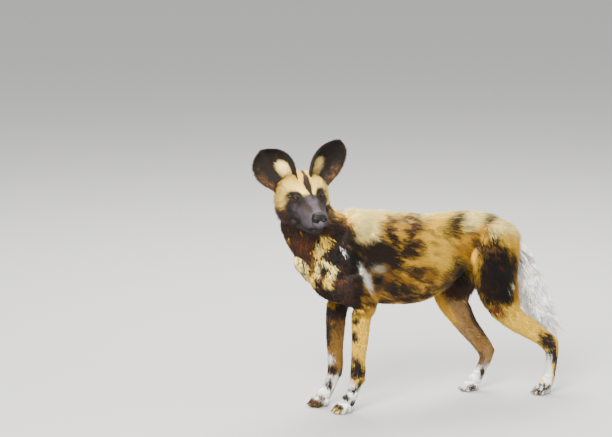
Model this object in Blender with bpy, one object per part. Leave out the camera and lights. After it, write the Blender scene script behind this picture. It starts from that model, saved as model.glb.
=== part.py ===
# African wild dog, standing still with its head turned to its left, life size.
# Metres, +Z up. The dog faces -X, its left side is -Y, and its paws stand on the floor at Z = 0.
import math
import random

import bmesh
import bpy
import numpy as np
from mathutils import Matrix, Vector
from mathutils.bvhtree import BVHTree

# Fit between neighbouring pieces, and the mesh sizes and smoothing of the forms
GAP = 0.0003
BODY_VOXEL = 0.0055
HEAD_VOXEL = 0.0030
PAW_VOXEL = 0.0026
BODY_SMOOTHING = 9
HEAD_SMOOTHING = 4
PAW_SMOOTHING = 2
RING_SIDES = 24
RINGS_PER_SPAN = 4
DOME_RINGS = 3

# Triangles that each form keeps
BODY_TRIANGLES = 4300
HEAD_TRIANGLES = 1900
PAW_TRIANGLES = 300

# Head: the midpoint between the eyes, and how the head is turned
EYE_MIDPOINT = Vector((-0.3685, -0.125, 0.6895))
HEAD_YAW = math.radians(-92.0)
HEAD_PITCH = math.radians(14.5)
HEAD_ROLL = math.radians(3.5)
HEAD = Matrix.Translation(EYE_MIDPOINT) @ (
    Matrix.Rotation(HEAD_YAW, 4, "Z")
    @ Matrix.Rotation(HEAD_PITCH, 4, "Y")
    @ Matrix.Rotation(HEAD_ROLL, 4, "X")
)
EYE_RADIUS = 0.0125
EYE_APART = 0.077
EYE_DEPTH = 0.0045
EYE_SPLAY = 21.0
EYE_RISE = 9.0
LID_THICKNESS = 0.0030
LID_HALF_WIDTH = 0.0114
LID_HALF_HEIGHT = 0.0070
LID_SLANT = 0.10

UP = Vector((0, 0, 1))
FORWARD = Vector((-1, 0, 0))

# Stations run along a form: centre, half width, half height to the front or top, half height to the back or
# bottom. The trunk's are x, top, bottom, half width.
TRUNK = [
    (-0.318, 0.516, 0.424, 0.046),
    (-0.292, 0.573, 0.364, 0.068),
    (-0.250, 0.604, 0.336, 0.082),
    (-0.190, 0.614, 0.327, 0.088),
    (-0.120, 0.609, 0.322, 0.093),
    (-0.040, 0.598, 0.314, 0.097),
    (0.020, 0.592, 0.311, 0.096),
    (0.070, 0.591, 0.328, 0.090),
    (0.120, 0.591, 0.362, 0.081),
    (0.170, 0.588, 0.398, 0.073),
    (0.220, 0.583, 0.415, 0.071),
    (0.270, 0.572, 0.412, 0.070),
    (0.310, 0.553, 0.420, 0.062),
    (0.336, 0.530, 0.440, 0.046),
]
NECK = [
    ((-0.190, 0.000, 0.470), 0.080, 0.110, 0.110),
    ((-0.255, 0.000, 0.520), 0.078, 0.104, 0.100),
    ((-0.305, -0.008, 0.572), 0.076, 0.094, 0.088),
    ((-0.335, -0.028, 0.618), 0.070, 0.080, 0.074),
    ((-0.348, -0.050, 0.652), 0.062, 0.066, 0.066),
]
# Head stations are in the head's own frame: x to the nose, z above the eyes. Each is x, top, bottom,
# half width.
CRANIUM = [
    (-0.106, 0.034, -0.072, 0.054),
    (-0.088, 0.051, -0.096, 0.073),
    (-0.062, 0.053, -0.104, 0.084),
    (-0.032, 0.041, -0.100, 0.077),
    (-0.005, 0.025, -0.088, 0.060),
    (0.018, 0.013, -0.074, 0.046),
]
MUZZLE = [
    (-0.030, 0.012, -0.076, 0.060),
    (-0.005, 0.010, -0.074, 0.054),
    (0.025, 0.005, -0.071, 0.046),
    (0.055, -0.001, -0.069, 0.039),
    (0.078, -0.007, -0.066, 0.034),
    (0.092, -0.012, -0.063, 0.029),
    (0.098, -0.018, -0.058, 0.022),
]
JAW = [
    (-0.045, -0.052, -0.106, 0.057),
    (-0.015, -0.058, -0.103, 0.049),
    (0.030, -0.062, -0.095, 0.038),
    (0.058, -0.062, -0.089, 0.029),
    (0.076, -0.062, -0.083, 0.022),
    (0.083, -0.062, -0.077, 0.015),
]
NOSE = [
    (0.078, -0.015, -0.042, 0.015),
    (0.090, -0.009, -0.045, 0.021),
    (0.100, -0.010, -0.045, 0.0225),
    (0.1065, -0.015, -0.042, 0.0195),
]
NOSTRIL = ((0.1105, 0.0122, -0.0278), (0.0085, 0.0052, 0.0044))
NOSE_DOME = 0.0050
# The mouth's line, in the head's frame, from under the nose to its corner: x, z
MOUTH_LINE = [(0.094, -0.0625), (0.074, -0.0630), (0.050, -0.0648), (0.025, -0.0688), (0.003, -0.0745)]
MOUTH_GROOVE = 0.0016
SHOULDER = [
    ((-0.165, 0.040, 0.572), 0.030, 0.050, 0.050),
    ((-0.205, 0.056, 0.520), 0.036, 0.064, 0.058),
    ((-0.250, 0.068, 0.465), 0.038, 0.062, 0.058),
    ((-0.275, 0.074, 0.425), 0.034, 0.046, 0.050),
]
UPPER_ARM = [
    ((-0.272, 0.072, 0.432), 0.034, 0.046, 0.050),
    ((-0.215, 0.080, 0.396), 0.036, 0.056, 0.050),
    ((-0.165, 0.083, 0.362), 0.031, 0.046, 0.040),
]
FORELEG_LEFT = [
    ((-0.160, -0.083, 0.372), 0.030, 0.044, 0.040),
    ((-0.162, -0.081, 0.338), 0.029, 0.040, 0.032),
    ((-0.172, -0.076, 0.298), 0.0265, 0.035, 0.029),
    ((-0.174, -0.069, 0.225), 0.0225, 0.030, 0.024),
    ((-0.178, -0.064, 0.160), 0.0200, 0.026, 0.021),
    ((-0.179, -0.061, 0.122), 0.0215, 0.025, 0.024),
    ((-0.186, -0.059, 0.092), 0.0195, 0.020, 0.021),
    ((-0.196, -0.058, 0.060), 0.0190, 0.018, 0.018),
    ((-0.206, -0.057, 0.036), 0.0210, 0.018, 0.018),
]
FORELEG_RIGHT = [
    ((-0.170, 0.080, 0.372), 0.030, 0.044, 0.040),
    ((-0.178, 0.077, 0.338), 0.029, 0.040, 0.034),
    ((-0.195, 0.071, 0.290), 0.0265, 0.035, 0.034),
    ((-0.204, 0.062, 0.215), 0.0225, 0.030, 0.030),
    ((-0.206, 0.055, 0.155), 0.0200, 0.026, 0.025),
    ((-0.208, 0.051, 0.118), 0.0215, 0.025, 0.025),
    ((-0.217, 0.049, 0.088), 0.0195, 0.020, 0.021),
    ((-0.231, 0.047, 0.056), 0.0190, 0.018, 0.018),
    ((-0.243, 0.046, 0.036), 0.0210, 0.018, 0.018),
]
THIGH_LEFT = [
    ((0.285, -0.045, 0.520), 0.040, 0.068, 0.070),
    ((0.275, -0.062, 0.455), 0.046, 0.076, 0.076),
    ((0.272, -0.072, 0.395), 0.046, 0.072, 0.070),
    ((0.282, -0.080, 0.335), 0.041, 0.064, 0.064),
    ((0.296, -0.083, 0.292), 0.036, 0.050, 0.056),
]
HINDLEG_LEFT = [
    ((0.275, -0.083, 0.325), 0.037, 0.044, 0.050),
    ((0.300, -0.082, 0.282), 0.034, 0.040, 0.046),
    ((0.342, -0.079, 0.245), 0.029, 0.036, 0.036),
    ((0.390, -0.075, 0.213), 0.0245, 0.032, 0.032),
    ((0.432, -0.071, 0.184), 0.0205, 0.028, 0.028),
    ((0.462, -0.068, 0.156), 0.0195, 0.027, 0.028),
    ((0.470, -0.067, 0.122), 0.0180, 0.021, 0.021),
    ((0.468, -0.066, 0.085), 0.0170, 0.018, 0.018),
    ((0.462, -0.065, 0.052), 0.0180, 0.018, 0.018),
    ((0.456, -0.065, 0.034), 0.0200, 0.018, 0.018),
]
THIGH_RIGHT = [
    ((0.280, 0.045, 0.520), 0.040, 0.068, 0.070),
    ((0.250, 0.060, 0.455), 0.046, 0.076, 0.080),
    ((0.220, 0.069, 0.395), 0.046, 0.072, 0.082),
    ((0.196, 0.075, 0.345), 0.041, 0.062, 0.076),
    ((0.190, 0.077, 0.310), 0.036, 0.056, 0.066),
]
HINDLEG_RIGHT = [
    ((0.172, 0.077, 0.345), 0.037, 0.050, 0.066),
    ((0.186, 0.075, 0.300), 0.034, 0.048, 0.062),
    ((0.212, 0.071, 0.255), 0.030, 0.042, 0.046),
    ((0.241, 0.067, 0.209), 0.0255, 0.034, 0.036),
    ((0.275, 0.064, 0.166), 0.0215, 0.030, 0.030),
    ((0.302, 0.062, 0.126), 0.0200, 0.027, 0.028),
    ((0.303, 0.061, 0.097), 0.0180, 0.021, 0.021),
    ((0.289, 0.060, 0.071), 0.0170, 0.018, 0.018),
    ((0.276, 0.060, 0.047), 0.0180, 0.018, 0.018),
    ((0.269, 0.060, 0.034), 0.0200, 0.018, 0.018),
]
# The tail's core is half as thick as its brush, whose locks reach TAIL_BRUSH out to each side
TAIL = [
    ((0.322, 0.000, 0.502), 0.020, 0.020, 0.020),
    ((0.360, 0.000, 0.478), 0.019, 0.019, 0.019),
    ((0.389, 0.001, 0.442), 0.016, 0.016, 0.016),
    ((0.411, 0.003, 0.398), 0.016, 0.016, 0.016),
    ((0.434, 0.006, 0.330), 0.016, 0.016, 0.016),
    ((0.460, 0.009, 0.264), 0.015, 0.015, 0.015),
    ((0.483, 0.011, 0.217), 0.010, 0.010, 0.010),
]
TAIL_BRUSH = [0.020, 0.027, 0.033, 0.038, 0.040, 0.036, 0.020]
TAIL_BRUSH_START = 0.38
TAIL_ROWS = 6
TAIL_LOCKS = 6
TAIL_LOCK_LENGTH = 0.080
TAIL_LOCK_WIDTH = 0.026

# Locks of long coat: share of the length and of the width at each section, and the thickness to the width
LOCK_PROFILE = [(-0.10, 0.70), (0.35, 1.00), (0.72, 0.66)]
LOCK_SINK = 0.0065
LOCK_THICKNESS = 0.36
LOCK_SEED = 11
# Rows of locks by node: points that the row runs through, locks, the way the hair lies, length, width, lift
LOCK_ROWS = {
    "head": [
        (((-0.452, -0.035, 0.690), (-0.446, -0.045, 0.650), (-0.420, -0.060, 0.612)),
         6, (-0.3, 0.5, -0.8), 0.042, 0.020, 0.30),
        (((-0.258, -0.030, 0.705), (-0.258, -0.040, 0.665), (-0.282, -0.060, 0.618)),
         6, (0.3, 0.5, -0.8), 0.042, 0.020, 0.30),
    ],
    "neck": [
        (((-0.300, -0.095, 0.540), (-0.380, -0.060, 0.550), (-0.390, 0.020, 0.548)),
         7, (-0.15, 0.0, -1.0), 0.046, 0.023, 0.20),
        (((-0.300, -0.090, 0.505), (-0.370, -0.060, 0.510), (-0.375, 0.020, 0.508)),
         6, (0.00, 0.0, -1.0), 0.044, 0.023, 0.18),
        (((-0.310, -0.080, 0.465), (-0.350, -0.040, 0.468), (-0.350, 0.030, 0.466)),
         5, (0.20, 0.0, -1.0), 0.042, 0.023, 0.16),
    ],
    "torso": [
        (((-0.145, -0.020, 0.612), (-0.090, -0.022, 0.604), (-0.040, -0.020, 0.598)),
         4, (1.0, -0.3, 0.0), 0.048, 0.024, 0.16),
        (((-0.135, 0.020, 0.612), (-0.080, 0.022, 0.604), (-0.030, 0.020, 0.597)),
         4, (1.0, 0.3, 0.0), 0.048, 0.024, 0.16),
    ],
    "hips": [
        (((0.350, -0.080, 0.470), (0.345, -0.090, 0.410), (0.345, -0.090, 0.360)),
         4, (0.3, 0.0, -1.0), 0.042, 0.022, 0.20),
        (((0.310, 0.070, 0.460), (0.290, 0.080, 0.400), (0.265, 0.085, 0.350)),
         4, (0.3, 0.0, -1.0), 0.042, 0.022, 0.20),
    ],
}

# Rounded masses: centre, radii, in the dog's frame for the body and in the head's for the head
BODY_MASSES = [
    ((0.478, -0.069, 0.164), (0.014, 0.012, 0.018)),
    ((0.322, 0.063, 0.122), (0.014, 0.012, 0.017)),
    ((-0.146, -0.085, 0.350), (0.018, 0.014, 0.018)),
    ((-0.156, 0.083, 0.348), (0.018, 0.014, 0.018)),
    ((-0.161, -0.061, 0.100), (0.008, 0.009, 0.010)),
    ((-0.191, 0.051, 0.097), (0.008, 0.009, 0.010)),
    ((0.278, -0.036, 0.500), (0.075, 0.045, 0.060)),
    ((0.274, 0.036, 0.500), (0.075, 0.045, 0.060)),
]
HEAD_MASSES = [
    ((-0.048, 0.048, -0.048), (0.045, 0.036, 0.046)),
    ((-0.048, -0.048, -0.048), (0.045, 0.036, 0.046)),
    ((-0.092, 0.0, -0.036), (0.052, 0.060, 0.062)),
    ((-0.012, 0.032, 0.008), (0.026, 0.019, 0.009)),
    ((-0.012, -0.032, 0.008), (0.026, 0.019, 0.009)),
    ((0.060, 0.023, -0.045), (0.036, 0.017, 0.023)),
    ((0.060, -0.023, -0.045), (0.036, 0.017, 0.023)),
]

# Paws: centre on the floor, heading in degrees from the dog's own, size, and the leg that each one ends
PAWS = {
    "forepaw_left": ((-0.219, -0.057), 4.0, 1.00),
    "forepaw_right": ((-0.256, 0.046), -6.0, 1.00),
    "hindpaw_left": ((0.444, -0.065), 4.0, 0.94),
    "hindpaw_right": ((0.256, 0.060), -4.0, 0.94),
}
# Toes, in the paw's frame with x forward: reach, distance aside, radius
TOES = [
    (0.031, 0.0088, 0.0105),
    (0.031, -0.0088, 0.0105),
    (0.018, 0.0205, 0.0098),
    (0.018, -0.0205, 0.0098),
]
CLAW_LENGTH = 0.011
CLAW_RADIUS = 0.0026
SOLE_SINK = 0.0015

# Ears in the head's frame: the middle of the base, how far the ear leans out and opens to the side
EAR_THICKNESS = 0.0042
EAR_HEIGHT = 0.118
EAR_HALF_WIDTH = 0.059
EAR_BASE_SHARE = 0.64
EAR_ROWS = 10
EAR_COLUMNS = 12
EARS = {
    "ear_left": ((-0.078, 0.051, 0.036), -34.5, 16.0),
    "ear_right": ((-0.078, -0.052, 0.036), 37.0, -16.0),
}

# Where the pieces part: heights above the floor, and a plane across the neck
LEG_TOP = 0.302
PAW_TOP = 0.074
NECK_CUT = (Vector((-0.322, -0.020, 0.600)), Vector((-0.30, -0.22, 0.93)).normalized())
WITHERS_CUT = (Vector((-0.235, 0.0, 0.500)), Vector((-0.80, 0.0, 0.60)).normalized())
LOIN_CUT = (Vector((0.100, 0.0, 0.480)), Vector((1.0, 0.0, 0.0)))

# The point on the floor under the middle of the model's box
MIDDLE = Vector((0.0088, -0.0565, 0.0))

COLOURS = {
    "coat": ((0.45, 0.29, 0.11), 0.85),
    "dark": ((0.045, 0.032, 0.028), 0.80),
    "white": ((0.80, 0.76, 0.68), 0.85),
    "nose": ((0.012, 0.012, 0.014), 0.35),
    "eye": ((0.060, 0.025, 0.010), 0.08),
}


def clear_scene():
    for obj in list(bpy.data.objects):
        bpy.data.objects.remove(obj)


def material(name):
    """The named Principled material, made once."""
    found = bpy.data.materials.get(name)
    if found:
        return found
    colour, roughness = COLOURS[name]
    made = bpy.data.materials.new(name)
    made.use_nodes = True
    shader = made.node_tree.nodes["Principled BSDF"]
    shader.inputs["Base Color"].default_value = (*colour, 1)
    shader.inputs["Roughness"].default_value = roughness
    return made


def new_object(name, bm, matrix=None):
    """An object that holds the bmesh, moved by the matrix."""
    if matrix is not None:
        bmesh.ops.transform(bm, matrix=matrix, verts=bm.verts)
    bmesh.ops.recalc_face_normals(bm, faces=bm.faces)
    mesh = bpy.data.meshes.new(name)
    bm.to_mesh(mesh)
    bm.free()
    obj = bpy.data.objects.new(name, mesh)
    bpy.context.scene.collection.objects.link(obj)
    return obj


def spline(rows, count):
    """Rows of numbers read along a smooth Catmull-Rom curve, count steps to a span."""
    rows = np.array(rows, float)
    padded = np.vstack([2 * rows[0] - rows[1], rows, 2 * rows[-1] - rows[-2]])
    found = []
    for i in range(len(rows) - 1):
        a, b, c, d = padded[i : i + 4]
        for t in np.arange(count) / count:
            square = 2 * a - 5 * b + 4 * c - d
            cube = 3 * b - a - 3 * c + d
            found.append(0.5 * (2 * b + (c - a) * t + square * t**2 + cube * t**3))
    return np.array(found + [rows[-1]])


def station_rows(stations):
    """Stations of (centre, side, fore, aft) as plain rows."""
    return [(*centre, side, fore, aft) for centre, side, fore, aft in stations]


def upright_rows(stations):
    """Stations of (x, top, bottom, half width) as plain rows, with the centre at 45% of the height."""
    rows = []
    for x, top, bottom, side in stations:
        centre = bottom + 0.52 * (top - bottom)
        rows.append((x, 0.0, centre, side, top - centre, centre - bottom))
    return rows


def add_loft(bm, rows, fore_axis, sides=RING_SIDES, spans=RINGS_PER_SPAN, square=1.0, dome=None):
    """A closed round-ended skin over the rows (centre, side, fore, aft), added to the bmesh."""
    rows = spline(rows, spans)
    centres = rows[:, :3]
    tangents = np.gradient(centres, axis=0)
    tangents /= np.linalg.norm(tangents, axis=1)[:, None]
    first, last = tangents[0], tangents[-1]
    low_dome, high_dome = (dome or rows[0, 3:].min()), (dome or rows[-1, 3:].min())
    turn = np.linspace(math.pi / 2, 0, DOME_RINGS + 1)[1:-1]
    start = []
    end = []
    for a in turn:
        start.append((centres[0] - first * math.sin(a) * low_dome, first, rows[0, 3:] * math.cos(a)))
    for a in turn[::-1]:
        end.append((centres[-1] + last * math.sin(a) * high_dome, last, rows[-1, 3:] * math.cos(a)))
    middle = [(c, t, r[3:]) for c, t, r in zip(centres, tangents, rows)]
    tips = (centres[0] - first * low_dome, centres[-1] + last * high_dome)
    rings = []
    for centre, tangent, (side, fore, aft) in start + middle + end:
        tangent = Vector(tangent)
        across = (fore_axis - tangent * fore_axis.dot(tangent)).normalized()
        lateral = across.cross(tangent)
        ring = []
        for k in range(sides):
            angle = 2 * math.pi * k / sides
            up = math.copysign(abs(math.cos(angle)) ** square, math.cos(angle))
            out = math.copysign(abs(math.sin(angle)) ** square, math.sin(angle))
            reach = fore if up > 0 else aft
            ring.append(bm.verts.new(Vector(centre) + lateral * side * out + across * reach * up))
        rings.append(ring)
    for low, high in zip(rings, rings[1:]):
        for k in range(sides):
            n = (k + 1) % sides
            bm.faces.new((low[k], low[n], high[n], high[k]))
    for ring, tip in ((rings[0], tips[0]), (rings[-1], tips[1])):
        peak = bm.verts.new(tip)
        for k in range(sides):
            bm.faces.new((ring[k], ring[(k + 1) % sides], peak))


def add_mass(bm, centre, radii, around=20, along=12):
    """An ellipsoid, added to the bmesh."""
    shape = Matrix.Translation(centre) @ Matrix.Diagonal((*radii, 1))
    bmesh.ops.create_uvsphere(bm, u_segments=around, v_segments=along, radius=1, matrix=shape)


def apply_modifiers(obj):
    """Puts the object's evaluated mesh in place of its own and drops the modifiers."""
    graph = bpy.context.evaluated_depsgraph_get()
    graph.update()
    mesh = bpy.data.meshes.new_from_object(obj.evaluated_get(graph))
    obj.modifiers.clear()
    obj.data = mesh
    return obj


def fuse(obj, voxel, smoothing, triangles):
    """Makes the overlapping forms of an object one smooth closed skin of about that many triangles."""
    remesh = obj.modifiers.new("fuse", "REMESH")
    remesh.mode = "VOXEL"
    remesh.voxel_size = voxel
    smooth = obj.modifiers.new("smooth", "SMOOTH")
    smooth.factor = 0.5
    smooth.iterations = smoothing
    apply_modifiers(obj)
    decimate = obj.modifiers.new("thin", "DECIMATE")
    decimate.ratio = triangles / (2 * len(obj.data.polygons))
    decimate.use_collapse_triangulate = True
    return apply_modifiers(obj)


def is_closed(obj):
    bm = bmesh.new()
    bm.from_mesh(obj.data)
    closed = len(bm.faces) > 0 and all(edge.is_manifold for edge in bm.edges)
    bm.free()
    return closed


def boolean(obj, operation, others):
    """Applies one Boolean of the object with all the others, and removes those."""
    group = bpy.data.collections.new("operands")
    bpy.context.scene.collection.children.link(group)
    for other in others:
        group.objects.link(other)
    before = obj.data.copy()
    for solver in ("EXACT", "MANIFOLD"):
        obj.data = before.copy()
        modifier = obj.modifiers.new(operation, "BOOLEAN")
        modifier.operation = operation
        modifier.operand_type = "COLLECTION"
        modifier.collection = group
        modifier.solver = solver
        apply_modifiers(obj)
        if is_closed(obj):
            break
    for other in others:
        bpy.data.objects.remove(other)
    bpy.data.collections.remove(group)
    return obj


def copy_of(obj, name):
    made = bpy.data.objects.new(name, obj.data.copy())
    bpy.context.scene.collection.objects.link(made)
    return made


def grown(obj, by):
    """A copy of the object, moved out along its normals."""
    made = copy_of(obj, obj.name + "_grown")
    bm = bmesh.new()
    bm.from_mesh(made.data)
    bm.normal_update()
    for vert in bm.verts:
        vert.co += vert.normal * by * vert.calc_shell_factor()
    bm.to_mesh(made.data)
    bm.free()
    return made


def keep_largest(obj):
    """Drops every loose scrap but the largest closed surface."""
    bm = bmesh.new()
    bm.from_mesh(obj.data)
    left = set(bm.verts)
    best, size = set(), -1.0
    while left:
        island = {left.pop()}
        edge = list(island)
        while edge:
            vert = edge.pop()
            for link in vert.link_edges:
                other = link.other_vert(vert)
                if other in left:
                    left.discard(other)
                    island.add(other)
                    edge.append(other)
        faces = {f for v in island for f in v.link_faces}
        volume = sum(f.calc_area() for f in faces)
        if volume > size:
            best, size = island, volume
    bmesh.ops.delete(bm, geom=[v for v in bm.verts if v not in best], context="VERTS")
    bmesh.ops.triangulate(bm, faces=bm.faces)
    bm.to_mesh(obj.data)
    bm.free()
    return obj


def box(name, low, high, matrix=None):
    """A box between two corners."""
    bm = bmesh.new()
    low, high = Vector(low), Vector(high)
    size = Matrix.Diagonal((*(high - low), 1))
    bmesh.ops.create_cube(bm, size=1, matrix=Matrix.Translation((low + high) / 2) @ size)
    return new_object(name, bm, matrix)


def mirrored(stations, side):
    """Stations of a limb drawn on the +Y side, put on the side asked for: 1 is right, -1 is left."""
    return [((x, side * y, z), *sizes) for (x, y, z), *sizes in stations]


def join_into(bm, other):
    """Adds another bmesh's shape to the first one."""
    mesh = bpy.data.meshes.new("joined")
    other.to_mesh(mesh)
    other.free()
    bm.from_mesh(mesh)
    bpy.data.meshes.remove(mesh)


def body_form():
    """Trunk, neck and limbs, fused."""
    bm = bmesh.new()
    add_loft(bm, upright_rows(TRUNK), UP)
    add_loft(bm, station_rows(NECK), FORWARD)
    for side in (-1, 1):
        add_loft(bm, station_rows(mirrored(SHOULDER, side)), FORWARD)
        add_loft(bm, station_rows(mirrored(UPPER_ARM, side)), FORWARD)
    for limb in (FORELEG_LEFT, FORELEG_RIGHT, THIGH_LEFT, HINDLEG_LEFT, THIGH_RIGHT, HINDLEG_RIGHT):
        add_loft(bm, station_rows(limb), FORWARD)
    for centre, radii in BODY_MASSES:
        add_mass(bm, centre, radii)
    head = bmesh.new()
    add_loft(head, upright_rows(CRANIUM), UP)
    bmesh.ops.transform(head, matrix=HEAD, verts=head.verts)
    join_into(bm, head)
    return fuse(new_object("torso", bm), BODY_VOXEL, BODY_SMOOTHING, BODY_TRIANGLES)


def head_form():
    """Cranium, muzzle, jaw and cheeks with the top of the neck, fused."""
    bm = bmesh.new()
    for stations in (CRANIUM, MUZZLE, JAW):
        add_loft(bm, upright_rows(stations), UP)
    for centre, radii in HEAD_MASSES:
        add_mass(bm, centre, radii)
    bmesh.ops.transform(bm, matrix=HEAD, verts=bm.verts)
    neck = bmesh.new()
    add_loft(neck, station_rows(NECK[1:]), FORWARD)
    join_into(bm, neck)
    return fuse(new_object("head", bm), HEAD_VOXEL, HEAD_SMOOTHING, HEAD_TRIANGLES)


def paw_form(name, leg):
    """One paw with the end of its leg: a pad, a back and four toes."""
    (x, y), heading, size = PAWS[name]
    bm = bmesh.new()
    add_mass(bm, (-0.002, 0, 0.018), (0.024, 0.022, 0.020))
    add_mass(bm, (-0.004, 0, 0.034), (0.020, 0.0195, 0.024))
    for reach, aside, radius in TOES:
        rows = [
            (0.000, aside * 0.55, 0.025, radius, radius, radius),
            (reach * 0.60, aside * 0.9, 0.022, radius, radius, radius),
            (reach, aside, 0.0105, radius * 0.86, radius * 0.86, radius * 0.9),
        ]
        add_loft(bm, rows, UP, sides=12, spans=3)
    turn = Matrix.Rotation(math.pi + math.radians(heading), 4, "Z")
    place = Matrix.Translation((x, y, -SOLE_SINK)) @ turn @ Matrix.Scale(size, 4)
    bmesh.ops.transform(bm, matrix=place, verts=bm.verts)
    end = bmesh.new()
    add_loft(end, station_rows(leg[-4:]), FORWARD)
    join_into(bm, end)
    paw = fuse(new_object(name, bm), PAW_VOXEL, PAW_SMOOTHING, PAW_TRIANGLES)
    return boolean(paw, "UNION", [claw(place, toe) for toe in TOES])


def claw(place, toe):
    """A bent, pointed claw on a toe."""
    reach, aside, radius = toe
    bm = bmesh.new()
    root = reach + radius * 0.35
    rows = [
        (root, aside, 0.0135, CLAW_RADIUS, CLAW_RADIUS, CLAW_RADIUS),
        (root + CLAW_LENGTH * 0.5, aside, 0.0125, CLAW_RADIUS * 0.8, CLAW_RADIUS * 0.8, CLAW_RADIUS * 0.8),
        (root + CLAW_LENGTH * 0.9, aside, 0.0082, CLAW_RADIUS * 0.4, CLAW_RADIUS * 0.4, CLAW_RADIUS * 0.4),
    ]
    add_loft(bm, rows, UP, sides=5, spans=1)
    return new_object("claw", bm, place)


def half_space(name, point, normal):
    """A big box that fills the side of a plane that its normal points to."""
    turn = Vector(normal).to_track_quat("Z", "Y").to_matrix().to_4x4()
    return box(name, (-1.5, -1.5, 0), (1.5, 1.5, 3), Matrix.Translation(point) @ turn)


def cut_in_two(obj, plane, name):
    """Leaves the object behind the plane and returns its other side under a new name, a gap apart."""
    point, normal = plane
    other = copy_of(obj, name)
    boolean(other, "INTERSECT", [half_space("side", point + normal * GAP / 2, normal)])
    boolean(obj, "INTERSECT", [half_space("side", point - normal * GAP / 2, -normal)])
    return other


def pieces_of(obj):
    """The loose parts of an object as objects of their own, the largest first."""
    bm = bmesh.new()
    bm.from_mesh(obj.data)
    bm.verts.ensure_lookup_table()
    left = set(bm.verts)
    islands = []
    while left:
        island = {left.pop()}
        edge = list(island)
        while edge:
            vert = edge.pop()
            for link in vert.link_edges:
                other = link.other_vert(vert)
                if other in left:
                    left.discard(other)
                    island.add(other)
                    edge.append(other)
        islands.append({v.index for v in island})
    bm.free()
    found = []
    for island in sorted(islands, key=lambda group: (-len(group), min(group))):
        part = bmesh.new()
        part.from_mesh(obj.data)
        bmesh.ops.delete(part, geom=[v for v in part.verts if v.index not in island], context="VERTS")
        found.append(new_object(obj.name + "_piece", part))
    bpy.data.objects.remove(obj)
    return found


def centre_of(obj):
    return sum((v.co for v in obj.data.vertices), Vector()) / len(obj.data.vertices)


def cut_legs(torso):
    """Parts the legs from the torso by a level plane, then the paws' part from each leg."""
    legs = cut_in_two(torso, (Vector((0, 0, LEG_TOP)), -UP), "legs")
    for piece in pieces_of(legs):
        centre = centre_of(piece)
        pair = "foreleg" if centre.x < 0 else "hindleg"
        side = "left" if centre.y < 0 else "right"
        piece.name = f"{pair}_{side}"
        finish(piece, "coat")
        boolean(piece, "INTERSECT", [half_space("side", (0, 0, PAW_TOP + GAP / 2), UP)])


def ear(name):
    """A round upright cup with a thin wall, its base sunk in the head."""
    base, lean, turn = EARS[name]
    bm = bmesh.new()
    layers = []
    for thickness in (0.0, 1.0):
        grid = []
        for i in range(EAR_ROWS):
            v = i / (EAR_ROWS - 1)
            share = ear_width(v)
            row = []
            for j in range(EAR_COLUMNS):
                u = 2 * j / (EAR_COLUMNS - 1) - 1
                row.append(bm.verts.new(ear_point(u, v, share, thickness)))
            grid.append(row)
        layers.append(grid)
    front, back = layers
    for i in range(EAR_ROWS - 1):
        for j in range(EAR_COLUMNS - 1):
            bm.faces.new((front[i][j], front[i][j + 1], front[i + 1][j + 1], front[i + 1][j]))
            bm.faces.new((back[i][j + 1], back[i][j], back[i + 1][j], back[i + 1][j + 1]))
    border = [(0, j) for j in range(EAR_COLUMNS)]
    border += [(i, EAR_COLUMNS - 1) for i in range(1, EAR_ROWS)]
    border += [(EAR_ROWS - 1, j) for j in range(EAR_COLUMNS - 2, -1, -1)]
    border += [(i, 0) for i in range(EAR_ROWS - 2, 0, -1)]
    for (i, j), (m, n) in zip(border, border[1:] + border[:1]):
        bm.faces.new((front[m][n], front[i][j], back[i][j], back[m][n]))
    place = HEAD @ Matrix.Translation(base) @ (
        Matrix.Rotation(math.radians(lean), 4, "X") @ Matrix.Rotation(math.radians(turn), 4, "Z")
    )
    return new_object(name, bm, place)


def ear_width(v):
    """The ear's half width as a share of its widest, v from its base (0) to its tip (1)."""
    widest = 0.42
    if v < widest:
        return EAR_BASE_SHARE + (1 - EAR_BASE_SHARE) * math.sin(math.pi / 2 * v / widest)
    return math.sqrt(max(1 - ((v - widest) / (1.004 - widest)) ** 2, 0.0))


def ear_point(u, v, share, layer):
    """A point of the ear's inner (layer 0) or outer wall (1); x opens forward, y is across, z is up."""
    v = v**0.85
    curl = math.radians(95 - 62 * v)
    angle = u * curl
    across = EAR_HALF_WIDTH * share * math.sin(angle) / math.sin(curl)
    depth = EAR_HALF_WIDTH * share * (1 - math.cos(angle)) / math.sin(curl)
    bowl = -0.020 * math.sin(math.pi * min(v * 0.9 + 0.05, 1)) + 0.006 * v
    rim = (1 - abs(u) ** 6 * 0.45) * (1 - v**6 * 0.45)
    wall = EAR_THICKNESS * layer * rim
    height = EAR_HEIGHT * v - 0.012 * (1 - v)
    return Vector((
        depth * 0.9 + bowl - wall * math.cos(angle),
        across + wall * math.sin(angle),
        height,
    ))


def nose_form():
    bm = bmesh.new()
    add_loft(bm, upright_rows(NOSE), UP, sides=16, spans=1, square=0.75, dome=NOSE_DOME)
    return new_object("nose", bm, HEAD)


def eye_place(side):
    """The eye's own frame: at the middle of the ball, x along the gaze."""
    splay = Matrix.Rotation(math.radians(EYE_SPLAY) * side, 4, "Z")
    gaze = splay @ Matrix.Rotation(-math.radians(EYE_RISE), 4, "Y")
    return HEAD @ Matrix.Translation((-EYE_DEPTH, side * EYE_APART / 2, 0)) @ gaze


def eyeball(name, side, radius, segments=16):
    bm = bmesh.new()
    bmesh.ops.create_uvsphere(bm, u_segments=segments, v_segments=segments // 2, radius=radius)
    return new_object(name, bm, eye_place(side))


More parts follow.
